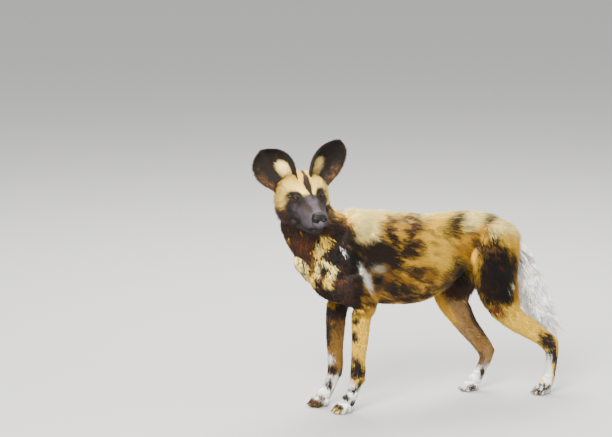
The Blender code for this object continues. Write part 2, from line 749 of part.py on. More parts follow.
def lid_opening(side):
    """An almond-shaped prism along the gaze, its inner corner lower than its outer one."""
    bm = bmesh.new()
    count = 20
    ring = []
    for k in range(count):
        angle = 2 * math.pi * k / count
        y = LID_HALF_WIDTH * math.cos(angle)
        z = LID_HALF_HEIGHT * math.sin(angle) * (1 - 0.25 * math.cos(angle) ** 2)
        z += y * side * LID_SLANT
        ring.append(bm.verts.new((EYE_RADIUS * 0.25, y, z)))
    face = bm.faces.new(ring)
    made = bmesh.ops.extrude_face_region(bm, geom=[face])
    top = [v for v in made["geom"] if isinstance(v, bmesh.types.BMVert)]
    bmesh.ops.translate(bm, verts=top, vec=(0.03, 0, 0))
    return new_object("opening", bm, eye_place(side))


def fit_head(head, rng):
    """Lids, eyes, nose with nostrils, the mouth's line and the ears."""
    sides = {"left": 1, "right": -1}
    lids = [eyeball("lid", side, EYE_RADIUS + LID_THICKNESS) for side in sides.values()]
    boolean(head, "UNION", lids)
    boolean(head, "DIFFERENCE", [lid_opening(side) for side in sides.values()])
    for name, side in sides.items():
        boolean(head, "DIFFERENCE", [eyeball("socket", side, EYE_RADIUS + GAP)])
        finish(eyeball(f"eye_{name}", side, EYE_RADIUS), "eye")
    nose = nose_form()
    boolean(head, "DIFFERENCE", [grown(nose, GAP)])
    for side in (1, -1):
        bm = bmesh.new()
        centre, radii = NOSTRIL
        add_mass(bm, (centre[0], side * centre[1], centre[2]), radii, 10, 6)
        boolean(nose, "DIFFERENCE", [new_object("nostril", bm, HEAD)])
    finish(nose, "nose")
    boolean(head, "DIFFERENCE", [mouth_groove(head)])
    add_locks(head, rng)
    for name in EARS:
        made = ear(name)
        boolean(head, "DIFFERENCE", [grown(made, GAP)])
        finish(made, "dark")
    keep_largest(head)


def build():
    clear_scene()
    rng = random.Random(LOCK_SEED)
    torso = body_form()
    head = head_form()
    cut_in_two(torso, NECK_CUT, "spare")
    bpy.data.objects.remove(bpy.data.objects["spare"])
    point, normal = NECK_CUT
    boolean(head, "INTERSECT", [half_space("side", point + normal * GAP / 2, normal)])
    fit_head(head, rng)
    finish(head, "coat")
    neck = cut_in_two(torso, WITHERS_CUT, "neck")
    cut_legs(torso)
    hips = cut_in_two(torso, LOIN_CUT, "hips")
    legs = {"forepaw_left": FORELEG_LEFT, "forepaw_right": FORELEG_RIGHT}
    legs |= {"hindpaw_left": HINDLEG_LEFT, "hindpaw_right": HINDLEG_RIGHT}
    for name, leg in legs.items():
        paw = paw_form(name, leg)
        boolean(paw, "INTERSECT", [box("slice", (-1, -1, 0), (1, 1, PAW_TOP - GAP / 2))])
        finish(keep_largest(paw), "white")
    tail = tail_core()
    boolean(hips, "DIFFERENCE", [grown(tail, GAP)])
    add_brush(tail, rng)
    for node in (neck, torso, hips):
        add_locks(node, rng)
    trim_locks(neck, head)
    trim_locks(torso, neck)
    finish(neck, "dark")
    finish(tail, "white")
    finish(keep_largest(hips), "coat")
    finish(torso, "coat")
    for obj in bpy.data.objects:
        obj.data.transform(Matrix.Translation(-MIDDLE))


def lock(root, normal, lie, length, width, lift, rng):
    """A flat, tapered, bent lock of hair that starts under the skin and comes to a point."""
    length *= rng.uniform(0.88, 1.12)
    width *= rng.uniform(0.88, 1.12)
    normal = normal.normalized()
    along = (lie - normal * lie.dot(normal)).normalized()
    across = normal.cross(along)
    along = (along + across * rng.uniform(-0.16, 0.16)).normalized()
    across = normal.cross(along)
    bend = rng.uniform(-0.10, 0.10)
    lift *= rng.uniform(0.8, 1.2)

    def centre(share):
        rise = lift * share * (1.25 - 0.25 * share) * length - LOCK_SINK * (1 - max(share, 0)) ** 2
        return root + along * share * length + across * bend * share**2 * length + normal * rise

    bm = bmesh.new()
    rings = []
    for share, wide in LOCK_PROFILE:
        half = across * width * wide / 2
        thick = normal * width * wide * LOCK_THICKNESS / 2
        middle = centre(share)
        rings.append([bm.verts.new(middle + step) for step in (half, thick, -half, -thick)])
    for low, high in zip(rings, rings[1:]):
        for k in range(4):
            bm.faces.new((low[k], low[(k + 1) % 4], high[(k + 1) % 4], high[k]))
    bm.faces.new(rings[0])
    tip = bm.verts.new(centre(1.0))
    for k in range(4):
        bm.faces.new((rings[-1][k], rings[-1][(k + 1) % 4], tip))
    return new_object("lock", bm)


def trim_locks(obj, neighbour):
    """Cuts away what overlaps the neighbour, with a gap."""
    boolean(obj, "DIFFERENCE", [grown(neighbour, GAP)])
    keep_largest(obj)


def surface_tree(obj):
    bm = bmesh.new()
    bm.from_mesh(obj.data)
    tree = BVHTree.FromBMesh(bm)
    bm.free()
    return tree


def add_locks(obj, rng):
    """Fuses the node's rows of locks into it."""
    tree = surface_tree(obj)
    locks = []
    for points, count, lie, length, width, lift in LOCK_ROWS[obj.name]:
        line = spline(points, 12)
        for k in range(count):
            share = (k + rng.uniform(0.35, 0.65)) / count
            near = Vector(line[round(share * (len(line) - 1))])
            root, normal, _, _ = tree.find_nearest(near)
            locks.append(lock(root, normal, Vector(lie), length, width, lift, rng))
    boolean(obj, "UNION", locks)
    return keep_largest(obj)


def tail_core():
    bm = bmesh.new()
    add_loft(bm, station_rows(TAIL), FORWARD, sides=10, spans=2)
    return new_object("tail", bm)


def add_brush(tail, rng):
    """Rings of locks round the tail's core that overlap like tiles, down to the tip."""
    rows = spline([(*row, brush) for row, brush in zip(station_rows(TAIL), TAIL_BRUSH)], 12)
    locks = []
    for i in range(TAIL_ROWS):
        k = round((TAIL_BRUSH_START + (0.96 - TAIL_BRUSH_START) * i / (TAIL_ROWS - 1)) * (len(rows) - 2))
        centre = Vector(rows[k][:3])
        tangent = (Vector(rows[k + 1][:3]) - centre).normalized()
        side = tangent.cross(UP).normalized()
        core, brush = rows[k][3], rows[k][6]
        for j in range(TAIL_LOCKS):
            angle = 2 * math.pi * (j + 0.5 * (i % 2) + rng.uniform(-0.12, 0.12)) / TAIL_LOCKS
            normal = side * math.cos(angle) + side.cross(tangent) * math.sin(angle)
            lift = (brush - core) / TAIL_LOCK_LENGTH
            root = centre + normal * core
            locks.append(lock(root, normal, tangent, TAIL_LOCK_LENGTH, TAIL_LOCK_WIDTH, lift, rng))
    boolean(tail, "UNION", locks)
    return keep_largest(tail)


def mouth_groove(head):
    """A thin tube along the lips from corner to corner, half sunk in the skin."""
    tree = surface_tree(head)
    turn = HEAD.to_3x3()
    points = []
    for side in (1, -1):
        rows = []
        for x, z in MOUTH_LINE[1:]:
            hit = tree.ray_cast(HEAD @ Vector((x, 0.12 * side, z)), turn @ Vector((0, -side, 0)))[0]
            rows.append(HEAD.inverted() @ hit)
        points.append(rows)
    front = []
    for y in (0.010, 0.0, -0.010):
        hit = tree.ray_cast(HEAD @ Vector((0.2, y, MOUTH_LINE[0][1])), turn @ Vector((-1, 0, 0)))[0]
        front.append(HEAD.inverted() @ hit)
    path = points[0][::-1] + front + points[1]
    bm = bmesh.new()
    radius = MOUTH_GROOVE
    add_loft(bm, [(*p, radius, radius, radius) for p in path], UP, sides=6, spans=2)
    return new_object("groove", bm, HEAD)


def finish(obj, colour):
    """Gives a node its material and smooth shading."""
    obj.data.materials.clear()
    obj.data.materials.append(material(colour))
    obj.data.shade_smooth()
    return obj


build()
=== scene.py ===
"""The african wild dog, dressed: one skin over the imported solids, its coat of tufts, eyes, nose and claws.

Everything is worked out in the design frame of the solids (dog facing -X, its left side towards -Y, floor at
Z = 0) and moved by MIDDLE to the row frame when an object is made.
"""

import logging
import math
from dataclasses import dataclass
from enum import Enum

import bpy
import numpy as np
from mathutils import Matrix, Vector


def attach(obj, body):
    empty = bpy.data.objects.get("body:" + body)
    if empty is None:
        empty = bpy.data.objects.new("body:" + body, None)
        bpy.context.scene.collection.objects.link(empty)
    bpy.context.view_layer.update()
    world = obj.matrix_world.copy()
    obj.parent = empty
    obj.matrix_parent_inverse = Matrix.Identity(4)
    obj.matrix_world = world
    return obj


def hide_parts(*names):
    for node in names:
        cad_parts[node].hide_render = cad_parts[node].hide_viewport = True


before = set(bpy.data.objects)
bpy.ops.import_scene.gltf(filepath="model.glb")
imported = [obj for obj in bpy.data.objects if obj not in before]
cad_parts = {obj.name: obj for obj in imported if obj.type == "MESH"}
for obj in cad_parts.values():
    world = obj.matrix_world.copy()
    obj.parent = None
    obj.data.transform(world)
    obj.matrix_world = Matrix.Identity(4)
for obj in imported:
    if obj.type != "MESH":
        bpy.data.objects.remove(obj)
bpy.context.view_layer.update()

LOG = logging.getLogger("wild_dog")
Array = np.ndarray

# The design frame's point that lies under the middle of the model's box
MIDDLE = (0.0088, -0.0565, 0.0)
SEED = 20

# Mesh sizes of the skin, and the smoothing that goes with them
BODY_VOXEL, BODY_SMOOTHING = 0.0058, 8
HEAD_VOXEL, HEAD_SMOOTHING = 0.0021, 8
PAW_VOXEL, PAW_SMOOTHING = 0.0025, 2

# Head: the midpoint between the eyes, and how the head is turned
EYE_MIDPOINT = (-0.3685, -0.125, 0.6895)
HEAD_TURN = (-92.0, 14.5, 3.5)

# Stations of the solids' forms: centre, half width, and reach to the front or top and to the back or bottom.
# Those of the trunk, skull, muzzle, jaw and nose are x, top, bottom, half width.
TRUNK = [
    (-0.318, 0.516, 0.424, 0.046), (-0.292, 0.573, 0.364, 0.068), (-0.250, 0.604, 0.336, 0.082),
    (-0.190, 0.614, 0.327, 0.088), (-0.120, 0.609, 0.322, 0.093), (-0.040, 0.598, 0.314, 0.097),
    (0.020, 0.592, 0.311, 0.096), (0.070, 0.591, 0.328, 0.090), (0.120, 0.591, 0.362, 0.081),
    (0.170, 0.588, 0.398, 0.073), (0.220, 0.583, 0.415, 0.071), (0.270, 0.572, 0.412, 0.070),
    (0.310, 0.553, 0.420, 0.062), (0.336, 0.530, 0.440, 0.046),
]
NECK = [
    ((-0.190, 0.000, 0.470), 0.080, 0.110, 0.110), ((-0.255, 0.000, 0.520), 0.078, 0.104, 0.100),
    ((-0.305, -0.008, 0.572), 0.076, 0.094, 0.088), ((-0.335, -0.028, 0.618), 0.070, 0.080, 0.074),
    ((-0.348, -0.050, 0.652), 0.062, 0.066, 0.066),
]
CRANIUM = [
    (-0.106, 0.034, -0.072, 0.054), (-0.088, 0.051, -0.096, 0.073), (-0.062, 0.053, -0.104, 0.084),
    (-0.032, 0.041, -0.100, 0.077), (-0.005, 0.025, -0.088, 0.060), (0.018, 0.013, -0.074, 0.046),
]
MUZZLE = [
    (-0.030, 0.012, -0.076, 0.060), (-0.005, 0.010, -0.074, 0.054), (0.025, 0.005, -0.071, 0.046),
    (0.055, -0.001, -0.069, 0.039), (0.078, -0.007, -0.066, 0.034), (0.092, -0.012, -0.063, 0.029),
    (0.098, -0.018, -0.058, 0.022),
]
JAW = [
    (-0.045, -0.052, -0.106, 0.057), (-0.015, -0.058, -0.103, 0.049), (0.030, -0.062, -0.095, 0.038),
    (0.058, -0.062, -0.089, 0.029), (0.076, -0.062, -0.083, 0.022), (0.083, -0.062, -0.077, 0.015),
]
NOSE = [
    (0.078, -0.015, -0.042, 0.015), (0.090, -0.009, -0.045, 0.021), (0.100, -0.010, -0.045, 0.0225),
    (0.1065, -0.015, -0.042, 0.0195),
]
# Where the lips meet, x and z in the head's frame, from the corner of the mouth forward
MOUTH_LINE = [
    (0.003, -0.0745), (0.025, -0.0688), (0.050, -0.0648), (0.074, -0.0630), (0.092, -0.0626),
    (0.100, -0.0625),
]
SHOULDER = [
    ((-0.165, 0.040, 0.572), 0.030, 0.050, 0.050), ((-0.205, 0.056, 0.520), 0.036, 0.064, 0.058),
    ((-0.250, 0.068, 0.465), 0.038, 0.062, 0.058), ((-0.275, 0.074, 0.425), 0.034, 0.046, 0.050),
]
UPPER_ARM = [
    ((-0.272, 0.072, 0.432), 0.034, 0.046, 0.050), ((-0.215, 0.080, 0.396), 0.036, 0.056, 0.050),
    ((-0.165, 0.083, 0.362), 0.031, 0.046, 0.040),
]
FORELEG_LEFT = [
    ((-0.160, -0.083, 0.372), 0.030, 0.044, 0.040), ((-0.162, -0.081, 0.338), 0.029, 0.040, 0.032),
    ((-0.172, -0.076, 0.298), 0.0265, 0.035, 0.029), ((-0.174, -0.069, 0.225), 0.0225, 0.030, 0.024),
    ((-0.178, -0.064, 0.160), 0.0200, 0.026, 0.021), ((-0.179, -0.061, 0.122), 0.0215, 0.025, 0.024),
    ((-0.186, -0.059, 0.092), 0.0195, 0.020, 0.021), ((-0.196, -0.058, 0.060), 0.0190, 0.018, 0.018),
    ((-0.206, -0.057, 0.036), 0.0210, 0.018, 0.018),
]
FORELEG_RIGHT = [
    ((-0.170, 0.080, 0.372), 0.030, 0.044, 0.040), ((-0.178, 0.077, 0.338), 0.029, 0.040, 0.034),
    ((-0.195, 0.071, 0.290), 0.0265, 0.035, 0.034), ((-0.204, 0.062, 0.215), 0.0225, 0.030, 0.030),
    ((-0.206, 0.055, 0.155), 0.0200, 0.026, 0.025), ((-0.208, 0.051, 0.118), 0.0215, 0.025, 0.025),
    ((-0.217, 0.049, 0.088), 0.0195, 0.020, 0.021), ((-0.231, 0.047, 0.056), 0.0190, 0.018, 0.018),
    ((-0.243, 0.046, 0.036), 0.0210, 0.018, 0.018),
]
THIGH_LEFT = [
    ((0.285, -0.045, 0.520), 0.040, 0.068, 0.070), ((0.275, -0.062, 0.455), 0.046, 0.076, 0.076),
    ((0.272, -0.072, 0.395), 0.046, 0.072, 0.070), ((0.282, -0.080, 0.335), 0.041, 0.064, 0.064),
    ((0.296, -0.083, 0.292), 0.036, 0.050, 0.056),
]
HINDLEG_LEFT = [
    ((0.275, -0.083, 0.325), 0.037, 0.044, 0.050), ((0.300, -0.082, 0.282), 0.034, 0.040, 0.046),
    ((0.342, -0.079, 0.245), 0.029, 0.036, 0.036), ((0.390, -0.075, 0.213), 0.0245, 0.032, 0.032),
    ((0.432, -0.071, 0.184), 0.0205, 0.028, 0.028), ((0.462, -0.068, 0.156), 0.0195, 0.027, 0.028),
    ((0.470, -0.067, 0.122), 0.0180, 0.021, 0.021), ((0.468, -0.066, 0.085), 0.0170, 0.018, 0.018),
    ((0.462, -0.065, 0.052), 0.0180, 0.018, 0.018), ((0.456, -0.065, 0.034), 0.0200, 0.018, 0.018),
]
THIGH_RIGHT = [
    ((0.280, 0.045, 0.520), 0.040, 0.068, 0.070), ((0.250, 0.060, 0.455), 0.046, 0.076, 0.080),
    ((0.220, 0.069, 0.395), 0.046, 0.072, 0.082), ((0.196, 0.075, 0.345), 0.041, 0.062, 0.076),
    ((0.190, 0.077, 0.310), 0.036, 0.056, 0.066),
]
HINDLEG_RIGHT = [
    ((0.172, 0.077, 0.345), 0.037, 0.050, 0.066), ((0.186, 0.075, 0.300), 0.034, 0.048, 0.062),
    ((0.212, 0.071, 0.255), 0.030, 0.042, 0.046), ((0.241, 0.067, 0.209), 0.0255, 0.034, 0.036),
    ((0.275, 0.064, 0.166), 0.0215, 0.030, 0.030), ((0.302, 0.062, 0.126), 0.0200, 0.027, 0.028),
    ((0.303, 0.061, 0.097), 0.0180, 0.021, 0.021), ((0.289, 0.060, 0.071), 0.0170, 0.018, 0.018),
    ((0.276, 0.060, 0.047), 0.0180, 0.018, 0.018), ((0.269, 0.060, 0.034), 0.0200, 0.018, 0.018),
]
TAIL = [
    ((0.322, 0.000, 0.502), 0.022, 0.022, 0.022), ((0.358, 0.000, 0.476), 0.023, 0.023, 0.023),
    ((0.384, 0.001, 0.440), 0.024, 0.024, 0.024), ((0.405, 0.003, 0.396), 0.026, 0.026, 0.026),
    ((0.429, 0.006, 0.330), 0.027, 0.027, 0.027), ((0.457, 0.009, 0.264), 0.023, 0.023, 0.023),
    ((0.483, 0.011, 0.217), 0.010, 0.010, 0.010),
]
# Ellipsoids fused into the body, by centre and radii: hocks, elbows, wrists and rump
BODY_MASSES = [
    ((0.478, -0.069, 0.164), (0.014, 0.012, 0.018)), ((0.322, 0.063, 0.122), (0.014, 0.012, 0.017)),
    ((-0.146, -0.085, 0.350), (0.018, 0.014, 0.018)), ((-0.156, 0.083, 0.348), (0.018, 0.014, 0.018)),
    ((-0.161, -0.061, 0.100), (0.008, 0.009, 0.010)), ((-0.191, 0.051, 0.097), (0.008, 0.009, 0.010)),
    ((0.278, -0.036, 0.500), (0.075, 0.045, 0.060)), ((0.274, 0.036, 0.500), (0.075, 0.045, 0.060)),
]
# The same for the head's left half, each mirrored: cheek, skull, brow, lip, ear root, crown and nape
HEAD_MASSES = [
    ((-0.048, 0.048, -0.048), (0.045, 0.036, 0.046)), ((-0.092, 0.0, -0.036), (0.052, 0.060, 0.062)),
    ((-0.012, 0.032, 0.008), (0.026, 0.019, 0.009)),
    ((0.060, 0.023, -0.045), (0.036, 0.017, 0.023)), ((-0.084, 0.046, 0.004), (0.024, 0.030, 0.024)),
    ((-0.095, 0.028, -0.022), (0.040, 0.042, 0.050)), ((-0.080, 0.020, -0.070), (0.050, 0.050, 0.050)),
]


class Tone(Enum):
    """Colours of the coat and the bare skin, in sRGB."""

    CREAM = (0.97, 0.87, 0.55)
    PALE_GOLD = (0.94, 0.76, 0.24)
    GOLD = (0.84, 0.64, 0.15)
    OCHRE = (0.68, 0.47, 0.07)
    TAN = (0.50, 0.36, 0.14)
    FAWN = (0.57, 0.45, 0.29)
    RUST = (0.42, 0.235, 0.09)
    RUSSET = (0.205, 0.108, 0.066)
    BROWN = (0.225, 0.135, 0.085)
    DARK = (0.125, 0.078, 0.058)
    BLACK = (0.068, 0.048, 0.044)
    WHITE = (0.95, 0.96, 0.98)
    BONE = (0.62, 0.59, 0.52)
    GREY = (0.30, 0.25, 0.215)
    MASK = (0.150, 0.120, 0.135)
    MASK_LIGHT = (0.26, 0.245, 0.290)

    def linear(self) -> Array:
        """The tone in linear light.

        Returns:
            Three numbers.
        """
        value = np.array(self.value)
        return np.where(value <= 0.04045, value / 12.92, ((value + 0.055) / 1.055) ** 2.4)


@dataclass(frozen=True)
class Finish:
    """How one kind of surface looks.

    Attributes:
        name: The material's name.
        slot: The record's material slot; not used.
        roughness: Of the shader.
        colour: A plain linear colour, or None where the mesh's attribute gives it.
        bump: Depth of the fine grain, in metres.
        grain: Noise scale of that grain.
        specular: Specular level.
    """

    name: str
    slot: str
    roughness: float
    colour: tuple | None = None
    bump: float = 0.0
    grain: float = 600.0
    specular: float = 0.3


@dataclass(frozen=True)
class Blotch:
    """A patch of colour, drawn on a plane.

    Attributes:
        x: Centre along the plane's first axis.
        z: Centre up the plane.
        rx: Half length.
        rz: Half height.
        tone: Its colour.
        rough: How far noise breaks its edge, as a share of its size.
        turn: Degrees that its length is turned, the end towards the tail up.
        strength: Share of the colour under it that it hides.
        broken: Share of it that streaks break open.
    """

    x: float
    z: float
    rx: float
    rz: float
    tone: Tone
    rough: float = 0.5
    turn: float = 0.0
    strength: float = 1.0
    broken: float = 0.0


def blotches(*rows: tuple) -> list[Blotch]:
    """Patches from plain rows of their numbers.

    Args:
        rows: Each is x, z, rx, rz, tone and rough, and turn, strength and broken where they aren't the usual.

    Returns:
        The patches, in the order in which they are laid.
    """
    return [Blotch(*row) for row in rows]


T = Tone
# The flank that faces the camera, from the shoulders back
LEFT_FLANK = blotches(
    (0.068, 0.491, 0.3625, 0.1929, T.GOLD, 0.2), (0.068, 0.593, 0.3508, 0.0468, T.CREAM, 0.5),
    (0.068, 0.549, 0.3274, 0.0292, T.PALE_GOLD, 0.8, 0, 0.9, 0.3),
    (-0.125, 0.555, 0.0497, 0.0614, T.CREAM, 0.35), (-0.104, 0.517, 0.0269, 0.0269, T.CREAM, 0.5),
    (0.106, 0.573, 0.0643, 0.0409, T.CREAM, 0.5), (0.103, 0.497, 0.0672, 0.0818, T.PALE_GOLD, 0.5),
    (0.133, 0.444, 0.0386, 0.0409, T.PALE_GOLD, 0.5), (0.062, 0.450, 0.0351, 0.0234, T.PALE_GOLD, 0.6),
    (0.197, 0.555, 0.0386, 0.0327, T.CREAM, 0.5), (0.296, 0.538, 0.0526, 0.0491, T.CREAM, 0.5),
    (0.285, 0.576, 0.0702, 0.0257, T.CREAM, 0.4), (0.308, 0.497, 0.0292, 0.0234, T.PALE_GOLD, 0.5),
    (-0.014, 0.540, 0.0760, 0.0351, T.FAWN, 0.8, 0, 0.75, 0.2),
    (-0.025, 0.526, 0.0526, 0.0327, T.BROWN, 0.9, -20, 0.8, 0.42),
    (0.019, 0.549, 0.0292, 0.0234, T.BROWN, 0.9, 0, 0.85, 0.32),
    (0.027, 0.523, 0.0234, 0.0292, T.BROWN, 0.9, 0, 0.8, 0.38),
    (-0.060, 0.538, 0.0257, 0.0187, T.BROWN, 0.9, 0, 0.75, 0.35),
    (-0.081, 0.462, 0.0643, 0.0433, T.DARK, 0.6), (-0.113, 0.450, 0.0351, 0.0526, T.DARK, 0.5),
    (-0.019, 0.467, 0.0526, 0.0526, T.DARK, 0.8, -20, 0.9, 0.26),
    (-0.037, 0.432, 0.0316, 0.0374, T.DARK, 0.7),
    (0.022, 0.491, 0.0292, 0.0351, T.BROWN, 0.9, -20, 0.9, 0.3),
    (0.010, 0.438, 0.0386, 0.0316, T.DARK, 0.9, -25, 0.9, 0.3),
    (0.045, 0.412, 0.0351, 0.0140, T.DARK, 0.8, -15, 0.9, 0.1),
    (-0.019, 0.500, 0.0526, 0.0257, T.DARK, 0.9, -20, 0.85, 0.32),
    (0.080, 0.520, 0.0210, 0.0082, T.BROWN, 0.8, -20, 0.6),
    (0.080, 0.491, 0.0152, 0.0064, T.BROWN, 0.8, -15, 0.7),
    (0.048, 0.467, 0.0117, 0.0199, T.BROWN, 0.9, 0, 0.7, 0.3),
    (0.092, 0.456, 0.0117, 0.0082, T.TAN, 0.8, 0, 0.6),
    (0.051, 0.511, 0.0140, 0.0175, T.TAN, 0.9, 0, 0.6, 0.3),
    (0.162, 0.568, 0.0199, 0.0152, T.DARK, 0.7, 35, 0.9),
    (0.141, 0.539, 0.0292, 0.0246, T.DARK, 0.6, 40, 0.95),
    (0.157, 0.507, 0.0210, 0.0210, T.DARK, 0.7, -20, 0.9, 0.15),
    (0.133, 0.517, 0.0164, 0.0129, T.BROWN, 0.8, 0, 0.7, 0.2),
    (0.185, 0.494, 0.0257, 0.0152, T.BROWN, 0.9, -10, 0.8, 0.32),
    (0.210, 0.519, 0.0292, 0.0070, T.BROWN, 0.8, -5, 0.85),
    (0.197, 0.538, 0.0175, 0.0047, T.BROWN, 0.8, 0, 0.5),
    (0.257, 0.555, 0.0187, 0.0269, T.DARK, 0.6, 0, 0.9, 0.1),
    (0.250, 0.526, 0.0246, 0.0099, T.BROWN, 0.8, -10, 0.8),
    (0.217, 0.485, 0.0269, 0.0257, T.BROWN, 0.9, -30, 0.8, 0.32),
    (0.314, 0.520, 0.0175, 0.0047, T.TAN, 0.8, -30, 0.5),
    (0.302, 0.549, 0.0140, 0.0035, T.TAN, 0.8, -30, 0.4),
    (-0.008, 0.371, 0.1052, 0.0538, T.DARK, 0.8, -10, 0.8, 0.26),
    (-0.037, 0.380, 0.0351, 0.0292, T.OCHRE, 0.9, 0, 0.8, 0.35),
    (0.001, 0.380, 0.0269, 0.0175, T.OCHRE, 0.8, -10, 0.95),
    (-0.019, 0.403, 0.0234, 0.0117, T.GOLD, 0.8, 0, 0.8),
    (0.054, 0.435, 0.0246, 0.0099, T.GOLD, 0.8, -10, 0.9),
    (0.062, 0.391, 0.0316, 0.0234, T.OCHRE, 0.9, -30, 0.85, 0.25),
    (-0.031, 0.403, 0.0234, 0.0152, T.DARK, 0.9, -20, 0.85, 0.25),
    (0.001, 0.400, 0.0210, 0.0105, T.DARK, 0.9, -15, 0.8, 0.3),
    (0.033, 0.380, 0.0234, 0.0140, T.BROWN, 0.9, -20, 0.85, 0.3),
    (-0.049, 0.368, 0.0257, 0.0152, T.DARK, 0.9, 0, 0.85, 0.3),
    (-0.008, 0.359, 0.0292, 0.0117, T.BROWN, 0.9, 0, 0.85, 0.3),
    (0.083, 0.406, 0.0175, 0.0105, T.BROWN, 0.9, -30, 0.7, 0.3),
    (-0.037, 0.345, 0.0292, 0.0234, T.DARK, 0.7), (0.016, 0.342, 0.0433, 0.0111, T.DARK, 0.7, -5, 0.95),
    (0.045, 0.332, 0.0257, 0.0117, T.DARK, 0.7), (0.033, 0.412, 0.0292, 0.0105, T.DARK, 0.8, -20, 0.9),
    (0.019, 0.379, 0.0117, 0.0058, T.DARK, 0.8, 0, 0.8), (-0.002, 0.321, 0.0526, 0.0117, T.RUSSET, 0.6),
    (0.062, 0.356, 0.0351, 0.0175, T.BROWN, 0.8, 20, 0.8, 0.3),
    (-0.066, 0.315, 0.0351, 0.0117, T.RUSSET, 0.6),
    (0.068, 0.374, 0.0175, 0.0105, T.DARK, 0.8, -20, 0.7), (0.022, 0.306, 0.0760, 0.0094, T.RUSSET, 0.6),
    (0.103, 0.380, 0.0292, 0.0094, T.BROWN, 0.8, 45, 0.7, 0.3),
    (0.174, 0.467, 0.0409, 0.0351, T.OCHRE, 0.6, -60, 0.8),
    (0.191, 0.415, 0.0561, 0.0234, T.GOLD, 0.5, -60),
    (0.168, 0.444, 0.0351, 0.0070, T.BROWN, 0.8, -65, 0.7, 0.2),
    (0.200, 0.441, 0.0292, 0.0047, T.BROWN, 0.8, -60, 0.6),
    (0.191, 0.403, 0.0292, 0.0041, T.BROWN, 0.8, -58, 0.6),
    (0.214, 0.391, 0.0292, 0.0053, T.DARK, 0.8, -66, 0.7),
    (0.255, 0.560, 0.0193, 0.0097, T.GREY, 0.7, 60, 0.7, 0.1),
    (0.280, 0.397, 0.0593, 0.1033, T.BLACK, 0.28), (0.247, 0.476, 0.0334, 0.0220, T.BLACK, 0.5),
    (0.269, 0.494, 0.0220, 0.0149, T.BLACK, 0.6), (0.309, 0.331, 0.0273, 0.0492, T.BLACK, 0.35),
    (0.325, 0.424, 0.0167, 0.0422, T.BLACK, 0.5), (0.243, 0.362, 0.0229, 0.0396, T.DARK, 0.5),
    (0.260, 0.314, 0.0264, 0.0264, T.DARK, 0.6), (0.261, 0.472, 0.0220, 0.0040, T.TAN, 0.7, -5, 0.9),
    (0.239, 0.457, 0.0132, 0.0031, T.TAN, 0.7, -8, 0.8),
    (0.276, 0.449, 0.0123, 0.0026, T.RUST, 0.7, -5, 0.7),
    (0.245, 0.419, 0.0097, 0.0026, T.RUST, 0.7, -5, 0.6),
    (0.295, 0.415, 0.0132, 0.0026, T.RUST, 0.7, -5, 0.4),
    (0.269, 0.349, 0.0114, 0.0035, T.RUST, 0.7, -5, 0.4), (0.329, 0.362, 0.0040, 0.0040, T.WHITE, 0.4),
    (0.320, 0.345, 0.0026, 0.0026, T.WHITE, 0.4),
    (0.269, 0.281, 0.0264, 0.0149, T.RUST, 0.8, -15, 0.85, 0.3),
    (0.291, 0.283, 0.0264, 0.0114, T.BROWN, 0.8, -15, 0.8, 0.3),
    # The black and dark patches at about x 0.12 to 0.18 and z 0.37 to 0.43, in the fold before the thigh, are
    # partly the far thigh's dark and partly painted shade under the belly
    (0.251, 0.296, 0.0132, 0.0114, T.RUST, 0.8, -40, 0.7), (0.166, 0.395, 0.0369, 0.0290, T.BLACK, 0.35),
    (0.155, 0.428, 0.0149, 0.0220, T.DARK, 0.5, 20), (0.170, 0.349, 0.0615, 0.0396, T.BROWN, 0.35),
    (0.216, 0.340, 0.0193, 0.0352, T.BROWN, 0.4, 0, 0.9),
    (0.177, 0.375, 0.0396, 0.0220, T.BLACK, 0.5, 0, 0.8),
    (0.117, 0.373, 0.0308, 0.0097, T.DARK, 0.4, 42, 0.9), (0.106, 0.370, 0.0246, 0.0031, T.TAN, 0.5, 42),
    (0.142, 0.395, 0.0176, 0.0026, T.TAN, 0.5, 45, 0.8), (-0.171, 0.375, 0.0440, 0.1451, T.BLACK, 0.5),
    (-0.184, 0.481, 0.0308, 0.0396, T.BLACK, 0.5), (-0.153, 0.340, 0.0176, 0.0527, T.DARK, 0.6),
    (-0.113, 0.314, 0.0220, 0.0193, T.BROWN, 0.6), (-0.120, 0.340, 0.0105, 0.0220, T.DARK, 0.7),
    (-0.091, 0.382, 0.0220, 0.0176, T.BLACK, 0.5), (-0.105, 0.415, 0.0264, 0.0176, T.DARK, 0.6),
    (-0.092, 0.416, 0.0176, 0.0097, T.BONE, 0.5, 8),
    (-0.082, 0.410, 0.0105, 0.0066, T.BONE, 0.5, 0, 0.7),
    (-0.125, 0.381, 0.0343, 0.0066, T.WHITE, 0.35, -68),
    (-0.131, 0.404, 0.0105, 0.0053, T.WHITE, 0.35, -60),
    (-0.096, 0.349, 0.0220, 0.0176, T.BROWN, 0.8, 0, 0.8),
    (-0.085, 0.331, 0.0132, 0.0062, T.RUST, 0.8, -20, 0.7),
)
